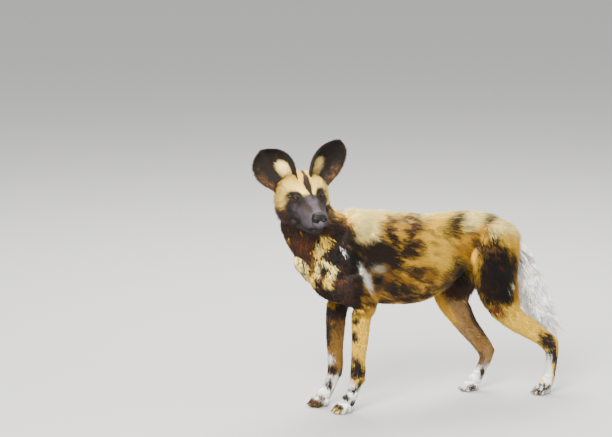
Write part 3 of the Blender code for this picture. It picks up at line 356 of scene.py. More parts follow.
# The neck, throat and chest, seen from the camera's side
LEFT_NECK = blotches(
    (-0.234, 0.444, 0.1143, 0.1407, T.DARK, 0.3), (-0.133, 0.542, 0.0286, 0.0374, T.CREAM, 0.4),
    (-0.146, 0.509, 0.0220, 0.0132, T.CREAM, 0.5, 0, 0.8),
    (-0.207, 0.560, 0.0242, 0.0176, T.TAN, 0.9, 0, 0.9),
    (-0.190, 0.545, 0.0264, 0.0154, T.BROWN, 0.9, 0, 0.8, 0.2),
    (-0.172, 0.562, 0.0132, 0.0132, T.OCHRE, 0.8, 0, 0.7), (-0.166, 0.520, 0.0198, 0.0132, T.DARK, 0.8),
    (-0.216, 0.545, 0.0132, 0.0242, T.BLACK, 0.5), (-0.221, 0.514, 0.0154, 0.0154, T.BLACK, 0.5),
    (-0.199, 0.503, 0.0264, 0.0242, T.BLACK, 0.4), (-0.183, 0.439, 0.0505, 0.0725, T.BLACK, 0.35),
    (-0.359, 0.538, 0.0308, 0.0484, T.RUSSET, 0.4), (-0.322, 0.494, 0.0505, 0.0418, T.RUSSET, 0.35, -35),
    (-0.295, 0.461, 0.0462, 0.0286, T.RUSSET, 0.35, -75),
    (-0.315, 0.503, 0.0352, 0.0176, T.RUST, 0.6, -70, 0.45, 0.3),
    (-0.293, 0.483, 0.0286, 0.0132, T.RUST, 0.6, -70, 0.35, 0.3),
    (-0.256, 0.525, 0.0264, 0.0132, T.RUSSET, 0.5),
    (-0.339, 0.534, 0.0440, 0.0154, T.DARK, 0.6, -25, 0.8),
    (-0.293, 0.435, 0.0176, 0.0132, T.DARK, 0.5, -70, 0.7),
    (-0.245, 0.494, 0.0154, 0.0176, T.PALE_GOLD, 0.35),
    (-0.251, 0.476, 0.0132, 0.0198, T.PALE_GOLD, 0.4, -40),
    (-0.265, 0.456, 0.0198, 0.0110, T.PALE_GOLD, 0.4, -60),
    (-0.278, 0.437, 0.0123, 0.0123, T.TAN, 0.6, 0, 0.7), (-0.247, 0.501, 0.0097, 0.0088, T.CREAM, 0.5),
    (-0.260, 0.472, 0.0110, 0.0132, T.CREAM, 0.6, 0, 0.7),
    (-0.258, 0.444, 0.0088, 0.0088, T.PALE_GOLD, 0.5), (-0.265, 0.417, 0.0119, 0.0185, T.CREAM, 0.4),
    (-0.273, 0.395, 0.0154, 0.0119, T.PALE_GOLD, 0.5), (-0.265, 0.389, 0.0110, 0.0075, T.CREAM, 0.5),
    (-0.245, 0.452, 0.0101, 0.0097, T.DARK, 0.5), (-0.254, 0.433, 0.0097, 0.0097, T.DARK, 0.5),
    (-0.243, 0.413, 0.0145, 0.0211, T.BLACK, 0.4), (-0.234, 0.426, 0.0145, 0.0057, T.CREAM, 0.35, -42),
    (-0.220, 0.411, 0.0097, 0.0097, T.CREAM, 0.35), (-0.225, 0.393, 0.0145, 0.0092, T.CREAM, 0.4, 50),
    (-0.238, 0.371, 0.0110, 0.0123, T.PALE_GOLD, 0.4), (-0.233, 0.359, 0.0088, 0.0053, T.CREAM, 0.4),
    (-0.271, 0.370, 0.0145, 0.0154, T.BLACK, 0.4),
    (-0.256, 0.384, 0.0132, 0.0066, T.RUSSET, 0.6, 60, 0.8),
    (-0.331, 0.435, 0.0079, 0.0132, T.CREAM, 0.6), (-0.322, 0.435, 0.0044, 0.0075, T.BROWN, 0.7),
    (-0.330, 0.417, 0.0079, 0.0097, T.DARK, 0.6), (-0.321, 0.422, 0.0088, 0.0154, T.CREAM, 0.5),
    (-0.338, 0.412, 0.0176, 0.0035, T.BROWN, 0.5, -72),
    (-0.315, 0.393, 0.0132, 0.0145, T.DARK, 0.5, -45),
    (-0.301, 0.408, 0.0176, 0.0088, T.CREAM, 0.4, -80),
    (-0.299, 0.389, 0.0198, 0.0075, T.CREAM, 0.5, -72),
    (-0.288, 0.413, 0.0110, 0.0132, T.TAN, 0.6, 0, 0.8),
    (-0.285, 0.380, 0.0198, 0.0079, T.PALE_GOLD, 0.5, -72),
    (-0.295, 0.358, 0.0145, 0.0057, T.WHITE, 0.4, -60), (-0.289, 0.345, 0.0119, 0.0110, T.DARK, 0.5),
    (-0.247, 0.329, 0.0418, 0.0264, T.DARK, 0.4), (-0.247, 0.314, 0.0242, 0.0031, T.RUST, 0.7, -12, 0.5),
    (-0.229, 0.334, 0.0198, 0.0026, T.BROWN, 0.7, -20, 0.6),
    (-0.189, 0.465, 0.0101, 0.0048, T.WHITE, 0.3, -64),
    (-0.198, 0.422, 0.0088, 0.0026, T.RUST, 0.7, 0, 0.55),
    (-0.172, 0.422, 0.0145, 0.0022, T.RUST, 0.7, 0, 0.45),
    (-0.181, 0.400, 0.0066, 0.0066, T.BROWN, 0.7, 0, 0.5),
    (-0.201, 0.373, 0.0211, 0.0123, T.RUSSET, 0.8, 20, 0.8),
    (-0.194, 0.378, 0.0110, 0.0040, T.RUST, 0.8, 15, 0.5),
    (-0.183, 0.358, 0.0132, 0.0066, T.RUSSET, 0.8, 0, 0.6),
    (-0.155, 0.367, 0.0048, 0.0075, T.RUST, 0.8, 0, 0.4),
    (-0.144, 0.465, 0.0075, 0.0044, T.TAN, 0.7, 0, 0.5),
    (-0.170, 0.481, 0.0075, 0.0018, T.TAN, 0.7, 0, 0.5),
    (-0.128, 0.452, 0.0066, 0.0132, T.BROWN, 0.7, 0, 0.5),
    (-0.168, 0.320, 0.0220, 0.0110, T.BROWN, 0.8, 0, 0.7),
    (-0.183, 0.298, 0.0132, 0.0031, T.RUST, 0.6, -70, 0.6),
    (-0.126, 0.389, 0.0330, 0.0075, T.WHITE, 0.3, -68),
)
# The flank and neck that the camera doesn't see, in the same style
RIGHT_FLANK = blotches(
    (0.05, 0.630, 0.40, 0.075, T.CREAM, 0.25), (-0.165, 0.585, 0.050, 0.055, T.CREAM, 0.25),
    (0.290, 0.540, 0.065, 0.055, T.CREAM, 0.30), (-0.060, 0.480, 0.045, 0.060, T.PALE_GOLD, 0.5),
    (0.120, 0.500, 0.050, 0.050, T.PALE_GOLD, 0.5), (0.030, 0.500, 0.040, 0.070, T.TAN, 0.9),
    (0.035, 0.540, 0.050, 0.028, T.DARK, 1.1, -20, 0.85),
    (0.020, 0.480, 0.028, 0.030, T.DARK, 1.1, 20, 0.9), (-0.110, 0.545, 0.032, 0.022, T.DARK, 0.9, 20),
    (-0.115, 0.450, 0.030, 0.050, T.BROWN, 1.0), (0.090, 0.575, 0.024, 0.012, T.DARK, 0.9, -15),
    (0.160, 0.555, 0.024, 0.014, T.BROWN, 0.9, 15), (-0.010, 0.580, 0.024, 0.009, T.GREY, 0.8),
    (0.215, 0.575, 0.026, 0.014, T.DARK, 0.8, -10), (-0.020, 0.415, 0.070, 0.035, T.RUST, 1.0, 0, 0.8),
    (-0.030, 0.362, 0.120, 0.038, T.DARK, 0.5), (0.020, 0.372, 0.030, 0.010, T.RUST, 0.9),
    (-0.080, 0.380, 0.026, 0.012, T.RUST, 0.9), (0.160, 0.430, 0.030, 0.050, T.OCHRE, 0.5, -12),
    (0.230, 0.450, 0.054, 0.075, T.BLACK, 0.45, 25), (0.200, 0.370, 0.040, 0.045, T.BLACK, 0.5, 20),
    (0.240, 0.470, 0.014, 0.010, T.WHITE, 0.4), (0.245, 0.400, 0.020, 0.008, T.TAN, 0.8, 0, 0.8),
    (-0.215, 0.470, 0.060, 0.105, T.BLACK, 0.40), (-0.150, 0.425, 0.022, 0.028, T.WHITE, 0.4, 20),
    (-0.230, 0.520, 0.014, 0.010, T.CREAM, 0.4), (-0.255, 0.430, 0.026, 0.014, T.TAN, 0.8),
    (-0.300, 0.370, 0.080, 0.045, T.DARK, 0.5), (-0.380, 0.560, 0.085, 0.095, T.RUSSET, 0.35),
    (-0.270, 0.560, 0.050, 0.060, T.BLACK, 0.5), (-0.260, 0.600, 0.030, 0.020, T.TAN, 0.8),
    (-0.310, 0.500, 0.018, 0.036, T.CREAM, 0.5, 20), (-0.365, 0.455, 0.020, 0.030, T.WHITE, 0.4, -35),
)
# Legs below the body, each drawn in x and z: the ground tone and its patches
LEGS = {
    "foreleg_left": (T.PALE_GOLD, blotches(
        (-0.165, 0.330, 0.050, 0.024, T.BROWN, 0.4), (-0.198, 0.290, 0.008, 0.014, T.DARK, 0.6),
        (-0.200, 0.237, 0.011, 0.020, T.BLACK, 0.5), (-0.146, 0.225, 0.006, 0.080, T.OCHRE, 0.4, 0, 0.7),
        (-0.196, 0.160, 0.012, 0.020, T.GREY, 0.7), (-0.190, 0.132, 0.020, 0.032, T.BLACK, 0.45),
        (-0.160, 0.122, 0.018, 0.018, T.BLACK, 0.5), (-0.150, 0.100, 0.012, 0.014, T.OCHRE, 0.5),
        (-0.200, 0.040, 0.060, 0.052, T.WHITE, 0.6), (-0.178, 0.090, 0.012, 0.014, T.BLACK, 0.7),
        (-0.196, 0.072, 0.012, 0.008, T.BLACK, 0.8, 30), (-0.222, 0.048, 0.012, 0.010, T.DARK, 0.8, -30),
        (-0.200, 0.030, 0.012, 0.010, T.DARK, 0.8), (-0.245, 0.020, 0.014, 0.010, T.BLACK, 0.8),
    )),
    # The far foreleg's darker tan ground is partly its own tone and partly painted shade
    "foreleg_right": (T.TAN, blotches(
        (-0.205, 0.310, 0.060, 0.050, T.DARK, 0.4), (-0.240, 0.215, 0.018, 0.075, T.DARK, 0.4, -8),
        (-0.205, 0.235, 0.014, 0.030, T.BROWN, 0.9, 0, 0.7), (-0.240, 0.140, 0.018, 0.020, T.WHITE, 0.5),
        (-0.222, 0.050, 0.075, 0.050, T.WHITE, 0.6), (-0.222, 0.112, 0.017, 0.015, T.BLACK, 0.5),
        (-0.192, 0.095, 0.012, 0.013, T.DARK, 0.5), (-0.232, 0.068, 0.010, 0.016, T.DARK, 0.7, -20),
        (-0.214, 0.036, 0.014, 0.026, T.BLACK, 0.6, -20), (-0.262, 0.030, 0.010, 0.008, T.GREY, 0.7),
        (-0.280, 0.014, 0.018, 0.012, T.BROWN, 0.7),
    )),
    "hindleg_left": (T.PALE_GOLD, blotches(
        (0.262, 0.288, 0.040, 0.018, T.RUST, 0.7, -25),
        (0.440, 0.226, 0.070, 0.012, T.TAN, 0.6, -32, 0.8),
        (0.452, 0.165, 0.050, 0.022, T.DARK, 0.5, -48), (0.466, 0.125, 0.022, 0.034, T.BLACK, 0.5),
        (0.492, 0.150, 0.012, 0.030, T.PALE_GOLD, 0.4), (0.482, 0.080, 0.012, 0.048, T.DARK, 0.5),
        (0.452, 0.070, 0.012, 0.050, T.WHITE, 0.4), (0.440, 0.020, 0.050, 0.024, T.WHITE, 0.5),
        (0.444, 0.022, 0.016, 0.012, T.DARK, 0.8), (0.468, 0.020, 0.010, 0.012, T.DARK, 0.7),
        (0.418, 0.012, 0.010, 0.010, T.DARK, 0.8),
    )),
    "hindleg_right": (T.FAWN, blotches(
        (0.200, 0.335, 0.060, 0.034, T.BROWN, 0.5), (0.162, 0.258, 0.064, 0.019, T.GOLD, 0.4, -57),
        (0.268, 0.225, 0.075, 0.017, T.BROWN, 0.5, -62),
        (0.240, 0.210, 0.050, 0.008, T.TAN, 0.8, -58, 0.7),
        (0.275, 0.150, 0.020, 0.040, T.TAN, 0.6, 20, 0.7), (0.330, 0.130, 0.020, 0.030, T.TAN, 0.4),
        (0.275, 0.095, 0.020, 0.020, T.DARK, 0.9, 0, 0.8), (0.262, 0.040, 0.060, 0.040, T.WHITE, 0.6),
        (0.285, 0.055, 0.010, 0.020, T.DARK, 0.8), (0.250, 0.016, 0.014, 0.010, T.DARK, 0.8),
    )),
}


def smoothstep(low: float, high: float, value: Array) -> Array:
    """A soft step from 0 to 1 between two values.

    Args:
        low: Where it leaves 0.
        high: Where it reaches 1.
        value: What is stepped.

    Returns:
        The step, as large as the value.
    """
    t = np.clip((value - low) / (high - low), 0.0, 1.0)
    return t * t * (3 - 2 * t)


def bell(*offsets: Array) -> Array:
    """A bell of height 1: e to the power of minus the sum of the squared offsets.

    Args:
        offsets: Distances from its middle, each over its width that way.

    Returns:
        The bell, as large as an offset.
    """
    return np.exp(-sum(offset**2 for offset in offsets))


def traced(line: list, places: Array) -> Array:
    """A line drawn through points, read at each place.

    Args:
        line: Pairs of a place and the line's height there.
        places: Where it is read.

    Returns:
        The heights.
    """
    along, height = zip(*line)
    return np.interp(places, along, height)


def unit(vectors: Array) -> Array:
    """The vectors at length one.

    Args:
        vectors: Rows of three numbers.

    Returns:
        Rows of the same directions.
    """
    return vectors / np.maximum(np.linalg.norm(vectors, axis=-1, keepdims=True), 1e-12)


def spline(rows: list, count: int) -> Array:
    """Rows of numbers read along a smooth Catmull-Rom curve.

    Args:
        rows: The rows that it runs through.
        count: Steps to a span.

    Returns:
        The rows of the curve.
    """
    rows = np.array(rows, float)
    padded = np.vstack([2 * rows[0] - rows[1], rows, 2 * rows[-1] - rows[-2]])
    found = []
    for i in range(len(rows) - 1):
        a, b, c, d = padded[i : i + 4]
        for t in np.arange(count) / count:
            square = 2 * a - 5 * b + 4 * c - d
            cube = 3 * b - a - 3 * c + d
            found.append(0.5 * (2 * b + (c - a) * t + square * t**2 + cube * t**3))
    return np.array(found + [rows[-1]])


# Large primes that scatter a cell's three numbers and the seed into a hash
CELL_PRIMES = np.array((73856093, 19349663, 83492791))
SEED_PRIME, MIXING_PRIME = 2654435, 1274126177


def noise(points: Array, scale: float | tuple, seed: int = 0, octaves: int = 2) -> Array:
    """Smooth value noise.

    Args:
        points: Rows of places in metres.
        scale: Cells per metre, one number or one for each axis.
        seed: Picks another pattern.
        octaves: Layers, each twice as fine and half as strong.

    Returns:
        A number from about -1 to 1 for each place.
    """
    total, weight, result = 0.0, 1.0, np.zeros(len(points))
    for octave in range(octaves):
        # Odd shifts keep the layers' and the seeds' cells apart
        place = points * np.array(scale) * 2**octave + 17.3 * octave + 31.7 * seed
        cell = np.floor(place).astype(np.int64)
        part = place - cell
        part = part * part * (3 - 2 * part)
        value = np.zeros(len(points))
        for corner in range(8):
            step = np.array([corner & 1, corner >> 1 & 1, corner >> 2 & 1])
            key = cell + step
            mixed = np.bitwise_xor.reduce(key * CELL_PRIMES, axis=1) ^ (seed * SEED_PRIME + octave)
            mixed = (mixed ^ (mixed >> 13)) * MIXING_PRIME & 0x7FFFFFFF
            mixed = (mixed ^ (mixed >> 16)) & 0xFFFF
            share = np.where(step == 1, part, 1 - part).prod(axis=1)
            value += share * (mixed / 32767.5 - 1)
        result += weight * value
        total += weight
        weight *= 0.5
    return result / total * 1.6


def head_matrix() -> Matrix:
    """The head's own frame: x to the nose, y to the dog's left, z up.

    Returns:
        The matrix that takes its places to the design frame.
    """
    yaw, pitch, roll = (math.radians(a) for a in HEAD_TURN)
    turn = Matrix.Rotation(yaw, 4, "Z") @ Matrix.Rotation(pitch, 4, "Y") @ Matrix.Rotation(roll, 4, "X")
    return Matrix.Translation(EYE_MIDPOINT) @ turn


HEAD = head_matrix()
HEAD_BACK = HEAD.inverted()


def moved(points: Array, matrix: Matrix) -> Array:
    """Places taken through a matrix.

    Args:
        points: Rows of places.
        matrix: The matrix.

    Returns:
        The new places.
    """
    m = np.array(matrix)
    return points @ m[:3, :3].T + m[:3, 3]


def turned(vectors: Array, matrix: Matrix) -> Array:
    """Directions taken through a matrix.

    Args:
        vectors: Rows of directions.
        matrix: The matrix.

    Returns:
        The new directions.
    """
    return vectors @ np.array(matrix)[:3, :3].T


@dataclass
class Surface:
    """A mesh as arrays, in the design frame.

    Attributes:
        points: Rows of places.
        faces: Arrays of corner numbers, of three or four columns.
        colours: A linear colour for each point, if any.
        uv: A bake map place for each point, if any.
    """

    points: Array
    faces: list[Array]
    colours: Array | None = None
    uv: Array | None = None

    @staticmethod
    def joined(parts: list["Surface"]) -> "Surface":
        """Several surfaces as one.

        Args:
            parts: The surfaces.

        Returns:
            One surface that holds them all.
        """
        faces, start = [], 0
        for part in parts:
            faces += [f + start for f in part.faces]
            start += len(part.points)
        colours = np.vstack([p.colours for p in parts]) if parts[0].colours is not None else None
        uv = np.vstack([p.uv for p in parts]) if parts[0].uv is not None else None
        return Surface(np.vstack([p.points for p in parts]), faces, colours, uv)

    def triangles(self) -> Array:
        """The faces as triangles.

        Returns:
            Rows of three corner numbers.
        """
        found = []
        for f in self.faces:
            found.append(f[:, :3])
            if f.shape[1] == 4:
                found.append(f[:, [0, 2, 3]])
        return np.vstack(found)

    def normals(self) -> Array:
        """The mean normal at each point.

        Returns:
            Rows of unit vectors.
        """
        tri = self.triangles()
        a, b, c = (self.points[tri[:, k]] for k in range(3))
        face = np.cross(b - a, c - a)
        total = np.zeros_like(self.points)
        for k in range(3):
            for axis in range(3):
                total[:, axis] += np.bincount(tri[:, k], face[:, axis], len(total))
        return unit(total)

    def mesh(self, name: str) -> bpy.types.Mesh:
        """A Blender mesh of the surface, moved to the row frame.

        Args:
            name: The mesh's name.

        Returns:
            The mesh.
        """
        made = bpy.data.meshes.new(name)
        made.vertices.add(len(self.points))
        made.vertices.foreach_set("co", (self.points - np.array(MIDDLE)).astype(np.float32).ravel())
        corners = np.concatenate([f.ravel() for f in self.faces])
        sizes = np.concatenate([np.full(len(f), f.shape[1]) for f in self.faces])
        made.loops.add(len(corners))
        made.loops.foreach_set("vertex_index", corners.astype(np.int32))
        made.polygons.add(len(sizes))
        starts = np.concatenate([[0], np.cumsum(sizes)[:-1]])
        made.polygons.foreach_set("loop_start", starts.astype(np.int32))
        made.polygons.foreach_set("use_smooth", np.ones(len(sizes), bool))
        made.update(calc_edges=True)
        if self.colours is not None:
            layer = made.color_attributes.new("coat", "FLOAT_COLOR", "POINT")
            rgba = np.hstack([self.colours, np.ones((len(self.colours), 1))])
            layer.data.foreach_set("color", rgba.astype(np.float32).ravel())
        if self.uv is not None:
            layer = made.uv_layers.new(name="OFBake")
            layer.data.foreach_set("uv", self.uv[corners].astype(np.float32).ravel())
        return made


def grid_faces(rows: int, columns: int, wrap: bool = False) -> Array:
    """Four-cornered faces over a grid of points stored row by row.

    Args:
        rows: Rows of points.
        columns: Points to a row.
        wrap: Whether the last column joins the first.

    Returns:
        Rows of four corner numbers.
    """
    last = columns if wrap else columns - 1
    i, j = np.meshgrid(np.arange(rows - 1), np.arange(last), indexing="ij")
    n = (j + 1) % columns
    low, high = i * columns, (i + 1) * columns
    return np.stack([low + j, low + n, high + n, high + j], -1).reshape(-1, 4)


def loft(
    rows: list,
    fore_axis: tuple = (-1, 0, 0),
    sides: int = 32,
    spans: int = 6,
    square: float = 1.0,
    dome: float | None = None,
    dome_rings: int = 4,
) -> Surface:
    """A closed round-ended skin over stations.

    Args:
        rows: Centre, half width, reach to the front, reach to the back.
        fore_axis: The way that the front of each section faces.
        sides: Points round a section.
        spans: Sections to a station.
        square: Below 1 makes the section boxy.
        dome: Height of the two round ends, or None for round ones.
        dome_rings: Sections to a round end.

    Returns:
        The surface.
    """
    rows = spline([(*row[0], *row[1:]) if isinstance(row[0], tuple) else row for row in rows], spans)
    centres = rows[:, :3]
    tangents = unit(np.gradient(centres, axis=0))
    low, high = dome or rows[0, 3:].min(), dome or rows[-1, 3:].min()
    turns = np.linspace(math.pi / 2, 0, dome_rings + 1)[1:-1]
    rise = np.array([[math.sin(a)] for a in turns])
    shrink = np.array([[math.cos(a)] for a in turns])
    start = centres[0] - tangents[0] * rise * low
    end = centres[-1] + tangents[-1] * rise[::-1] * high
    centre = np.vstack([start, centres, end])
    tangent = np.vstack([tangents[:1].repeat(len(turns), 0), tangents, tangents[-1:].repeat(len(turns), 0)])
    size = np.vstack([rows[0, 3:] * shrink, rows[:, 3:], rows[-1, 3:] * shrink[::-1]])
    fore = np.array(fore_axis, float)
    across = unit(fore - tangent * (tangent @ fore)[:, None])
    lateral = np.cross(across, tangent)
    angle = 2 * math.pi * np.arange(sides) / sides
    up = np.copysign(np.abs(np.cos(angle)) ** square, np.cos(angle))
    out = np.copysign(np.abs(np.sin(angle)) ** square, np.sin(angle))
    reach = np.where(up > 0, size[:, 1:2], size[:, 2:3]) * up
    points = centre[:, None] + lateral[:, None] * (size[:, 0:1] * out)[..., None]
    points = (points + across[:, None] * reach[..., None]).reshape(-1, 3)
    count = len(centre)
    tips = np.array([centres[0] - tangents[0] * low, centres[-1] + tangents[-1] * high])
    k = np.arange(sides)
    first = np.stack([k, np.full(sides, len(points)), (k + 1) % sides], -1)
    base = (count - 1) * sides
    last = np.stack([base + k, base + (k + 1) % sides, np.full(sides, len(points) + 1)], -1)
    return Surface(np.vstack([points, tips]), [grid_faces(count, sides, True), first, last])


def upright(stations: list) -> list:
    """Stations of x, top, bottom and half width as plain rows.

    Args:
        stations: The stations.

    Returns:
        Rows for loft.
    """
    rows = []
    for x, top, bottom, side in stations:
        centre = bottom + 0.52 * (top - bottom)
        rows.append((x, 0.0, centre, side, top - centre, centre - bottom))
    return rows


def mirrored(stations: list, side: int) -> list:
    """Stations drawn on the right side, put on the side asked for.

    Args:
        stations: The stations.
        side: 1 for right, -1 for left.

    Returns:
        The stations.
    """
    return [((x, side * y, z), *sizes) for (x, y, z), *sizes in stations]


def ball(centre: tuple, radii: tuple, around: int = 24, along: int = 14) -> Surface:
    """An ellipsoid.

    Args:
        centre: Its middle.
        radii: Its three radii.
        around: Points round it.
        along: Sections from pole to pole.

    Returns:
        The surface.
    """
    turn = np.linspace(0, math.pi, along + 1)[1:-1]
    angle = 2 * math.pi * np.arange(around) / around
    ring = np.stack([np.outer(np.sin(turn), np.cos(angle)), np.outer(np.sin(turn), np.sin(angle))], -1)
    height = np.repeat(np.cos(turn)[:, None], around, 1)[..., None]
    points = np.concatenate([ring, height], -1).reshape(-1, 3)
    points = np.vstack([points, [0, 0, 1], [0, 0, -1]]) * radii + centre
    k = np.arange(around)
    count = len(points)
    top = np.stack([k, (k + 1) % around, np.full(around, count - 2)], -1)
    base = (along - 2) * around
    bottom = np.stack([base + (k + 1) % around, base + k, np.full(around, count - 1)], -1)
    return Surface(points, [grid_faces(along - 1, around, True)[:, ::-1], top, bottom])


def fused(parts: list[Surface], voxel: float, smoothing: int) -> Surface:
    """Overlapping closed forms as one smooth skin.

    Args:
        parts: The forms.
        voxel: Mesh size.
        smoothing: Rounds of smoothing.

    Returns:
        The skin.
    """
    obj = bpy.data.objects.new("form", Surface.joined(parts).mesh("form"))
    bpy.context.scene.collection.objects.link(obj)
    remesh = obj.modifiers.new("fuse", "REMESH")
    remesh.mode = "VOXEL"
    remesh.voxel_size = voxel
    smooth = obj.modifiers.new("smooth", "SMOOTH")
    smooth.factor = 0.5
    smooth.iterations = smoothing
    graph = bpy.context.evaluated_depsgraph_get()
    mesh = bpy.data.meshes.new_from_object(obj.evaluated_get(graph))
    points = np.zeros(len(mesh.vertices) * 3, np.float32)
    mesh.vertices.foreach_get("co", points)
    corners = np.zeros(len(mesh.loops), np.int32)
    mesh.loops.foreach_get("vertex_index", corners)
    starts = np.zeros(len(mesh.polygons), np.int32)
    mesh.polygons.foreach_get("loop_start", starts)
    sizes = np.diff(np.append(starts, len(corners)))
    faces = []
    for size in (3, 4):
        chosen = starts[sizes == size]
        if len(chosen):
            faces.append(corners[chosen[:, None] + np.arange(size)])
    bpy.data.objects.remove(obj)
    bpy.data.meshes.remove(mesh)
    return Surface(points.reshape(-1, 3).astype(float) + np.array(MIDDLE), faces)


@dataclass
class Paint:
    """Colours that are laid over one another.

    Attributes:
        colours: A linear colour for each place, changed in place.
    """

    colours: Array

    def lay(self, tone: Tone, cover: Array) -> None:
        """Lays a tone over the colours.

        Args:
            tone: The tone.
            cover: Share of each place that it hides, held between 0 and 1.
        """
        self.colours += (tone.linear() - self.colours) * np.clip(cover, 0, 1)[:, None]


class Markings:
    """The coat's pattern: a colour for any place on the skin."""

    # The plane on which the left side's pattern is drawn, turned and tipped a little from the body's own side
    ACROSS = np.array((0.9272, -0.3746, 0.0))
    ABOVE = np.array((0.0715, 0.1769, 0.9816))
    OUT = np.array((-0.3677, -0.9102, 0.1908))
    # The hair of the trunk lies back and down
    FLANK_LIE = np.array(((0.912, 0, -0.410), (0, 1, 0), (0.410, 0, 0.912)))
    # Heights under which the legs have patches of their own, and between which these fade in
    LEG_TOP, LEG_FADE = 0.335, (0.318, 0.298)
    # The mask's edge on the face: its height beside the middle, and its half width by height
    MASK_TOP = [
        (0, 0.006), (0.010, 0.006), (0.019, 0.008), (0.027, 0.014), (0.038, 0.018), (0.049, 0.014),
        (0.060, 0.000), (0.066, -0.030),
    ]
    MASK_SIDE = [
        (-0.110, 0.030), (-0.085, 0.046), (-0.068, 0.053), (-0.040, 0.060), (-0.010, 0.062), (0.010, 0.062),
    ]
    # The stripe up the forehead: how far it is aside, and its half width, by height
    STRIPE_ASIDE = [(0.010, 0.006), (0.027, 0.003), (0.035, 0.001), (0.048, 0.004)]
    STRIPE_WIDTH = [
        (0.008, 0.002), (0.014, 0.0045), (0.022, 0.0085), (0.034, 0.0120), (0.044, 0.0085), (0.050, 0.0050),
    ]

    def __init__(self) -> None:
        """Reads the tones once."""
        self.tones = {tone: tone.linear() for tone in Tone}

    def paint(self, colours: Array, flat: Array, spots: list[Blotch], ragged: tuple[Array, Array]) -> None:
        """Lays blotches over colours, in order.

        Args:
            colours: Changed in place.
            flat: Each place on the patches' plane.
            spots: The patches.
            ragged: How far the noise and the single hair move the edge there.
        """
        wander, stray = ragged
        for spot in spots:
            c, s = math.cos(math.radians(spot.turn)), math.sin(math.radians(spot.turn))
            dx, dz = flat[:, 0] - spot.x, flat[:, 1] - spot.z
            distance = np.hypot((dx * c + dz * s) / spot.rx, (dz * c - dx * s) / spot.rz)
            size = math.sqrt(spot.rx * spot.rz)
            edge = spot.rough * wander * min(1.0, 0.020 / size + 0.35) + stray * min(0.40, 0.0075 / size)
            soft = min(0.30, 0.12 + 0.0020 / size)
            cover = smoothstep(-soft, soft, 1 - distance + edge) * spot.strength
            if spot.broken:
                gap = 1.1 * spot.broken - 0.55
                cover *= smoothstep(gap - 0.10, gap + 0.10, wander + 0.10 * stray)
            colours += (self.tones[spot.tone] - colours) * cover[:, None]

    @staticmethod
    def ragged(points: Array, stray: Array, upright: bool, seed: int) -> tuple[Array, Array]:
        """How the edges of the patches run, in streaks along the hair.

        Args:
            points: The places.
            stray: A number for each tuft, about -1 to 1.
            upright: Whether the hair points down rather than back.
            seed: Picks the noise.

        Returns:
            The noise, and the tufts' own share.
        """
        place = points if upright else points @ Markings.FLANK_LIE.T
        scale = np.array((120, 120, 50) if upright else (32, 64, 72))
        streak = noise(place, scale, seed, 3)
        fleck = noise(place, scale * 2.3, seed + 5, 2)
        return 0.62 * streak + 0.45 * fleck, stray

    def body(self, points: Array, normals: Array, stray: Array) -> Array:
        """The colours of the trunk, neck and legs.

        Args:
            points: The places.
            normals: Out of the skin.
            stray: A number for each tuft that moves the patches' edges.

        Returns:
            A linear colour for each.
        """
        colours = np.tile(self.tones[Tone.GOLD], (len(points), 1))
        flat = np.stack([points @ self.ACROSS, points @ self.ABOVE], -1)
        side = points[:, [0, 2]]
        facing = normals @ self.OUT + 0.08 * noise(points, 40, 3)
        right = smoothstep(-0.14, -0.40, facing)[:, None]
        ragged = self.ragged(points, stray, False, 1)
        left_colours = colours.copy()
        self.paint(left_colours, flat, LEFT_FLANK + LEFT_NECK, ragged)
        self.paint(colours, side, RIGHT_FLANK, ragged)
        colours = left_colours + (colours - left_colours) * right
        for number, (name, (ground, spots)) in enumerate(LEGS.items()):
            fore, left = name.startswith("fore"), name.endswith("left")
            mine = (points[:, 0] < 0) == fore
            mine &= (points[:, 1] < 0) == left
            mine &= points[:, 2] < self.LEG_TOP
            height = points[mine, 2] + 0.010 * noise(points[mine], 60, number)
            share = smoothstep(*self.LEG_FADE, height)
            leg = np.tile(self.tones[ground], (mine.sum(), 1))
            self.paint(leg, side[mine], spots, self.ragged(points[mine], stray[mine], True, 10 + number))
            colours[mine] += (leg - colours[mine]) * share[:, None]
        return colours

    def head(self, points: Array, stray: Array) -> Array:
        """The colours of the head.

        Args:
            points: The places, in the design frame.
            stray: A number for each tuft that moves the edges.

        Returns:
            A linear colour for each.
        """
        local = moved(points, HEAD_BACK)
        x, y, z = local.T
        rough = noise(points, 130, 7, 3)
        fine = noise(points, 420, 8, 2)
        step = 0.0012 * stray
        paint = Paint(np.tile(self.tones[Tone.CREAM], (len(points), 1)))
        lay = paint.lay

        # Forehead, crown and upper cheeks
        lay(Tone.PALE_GOLD, 0.35 + 0.35 * smoothstep(-0.4, 0.8, rough))
        crown = np.hypot((y + 0.012) / 0.034, (z - 0.052) / 0.024)
        lay(Tone.GOLD, 0.7 * smoothstep(1.2, 0.5, crown + 0.3 * rough))
        beside = bell((y - 0.002) / 0.022) * smoothstep(0.012, 0.034, z) * smoothstep(-0.6, 0.5, rough)
        lay(Tone.GOLD, 0.55 * beside)
        lay(Tone.OCHRE, 0.4 * smoothstep(0.3, 0.9, fine) * smoothstep(-0.02, -0.06, x))
        lay(Tone.GOLD, smoothstep(-0.040, -0.070, x) * smoothstep(0.2, 0.9, np.abs(y) / 0.08) * 0.6)
        # Lower cheeks, jaw and throat
        line = -0.034 - 0.30 * np.maximum(-x - 0.02, 0) + 0.007 * rough
        low = smoothstep(0.008, -0.010, z - line + step)
        lay(Tone.BROWN, low)
        lay(Tone.RUSSET, low * smoothstep(-0.045, -0.085, z + 0.01 * rough) * 0.9)
        lay(Tone.TAN, low * smoothstep(0.35, 0.8, fine + 0.4 * rough) * smoothstep(0.0, -0.06, x) * 0.4)
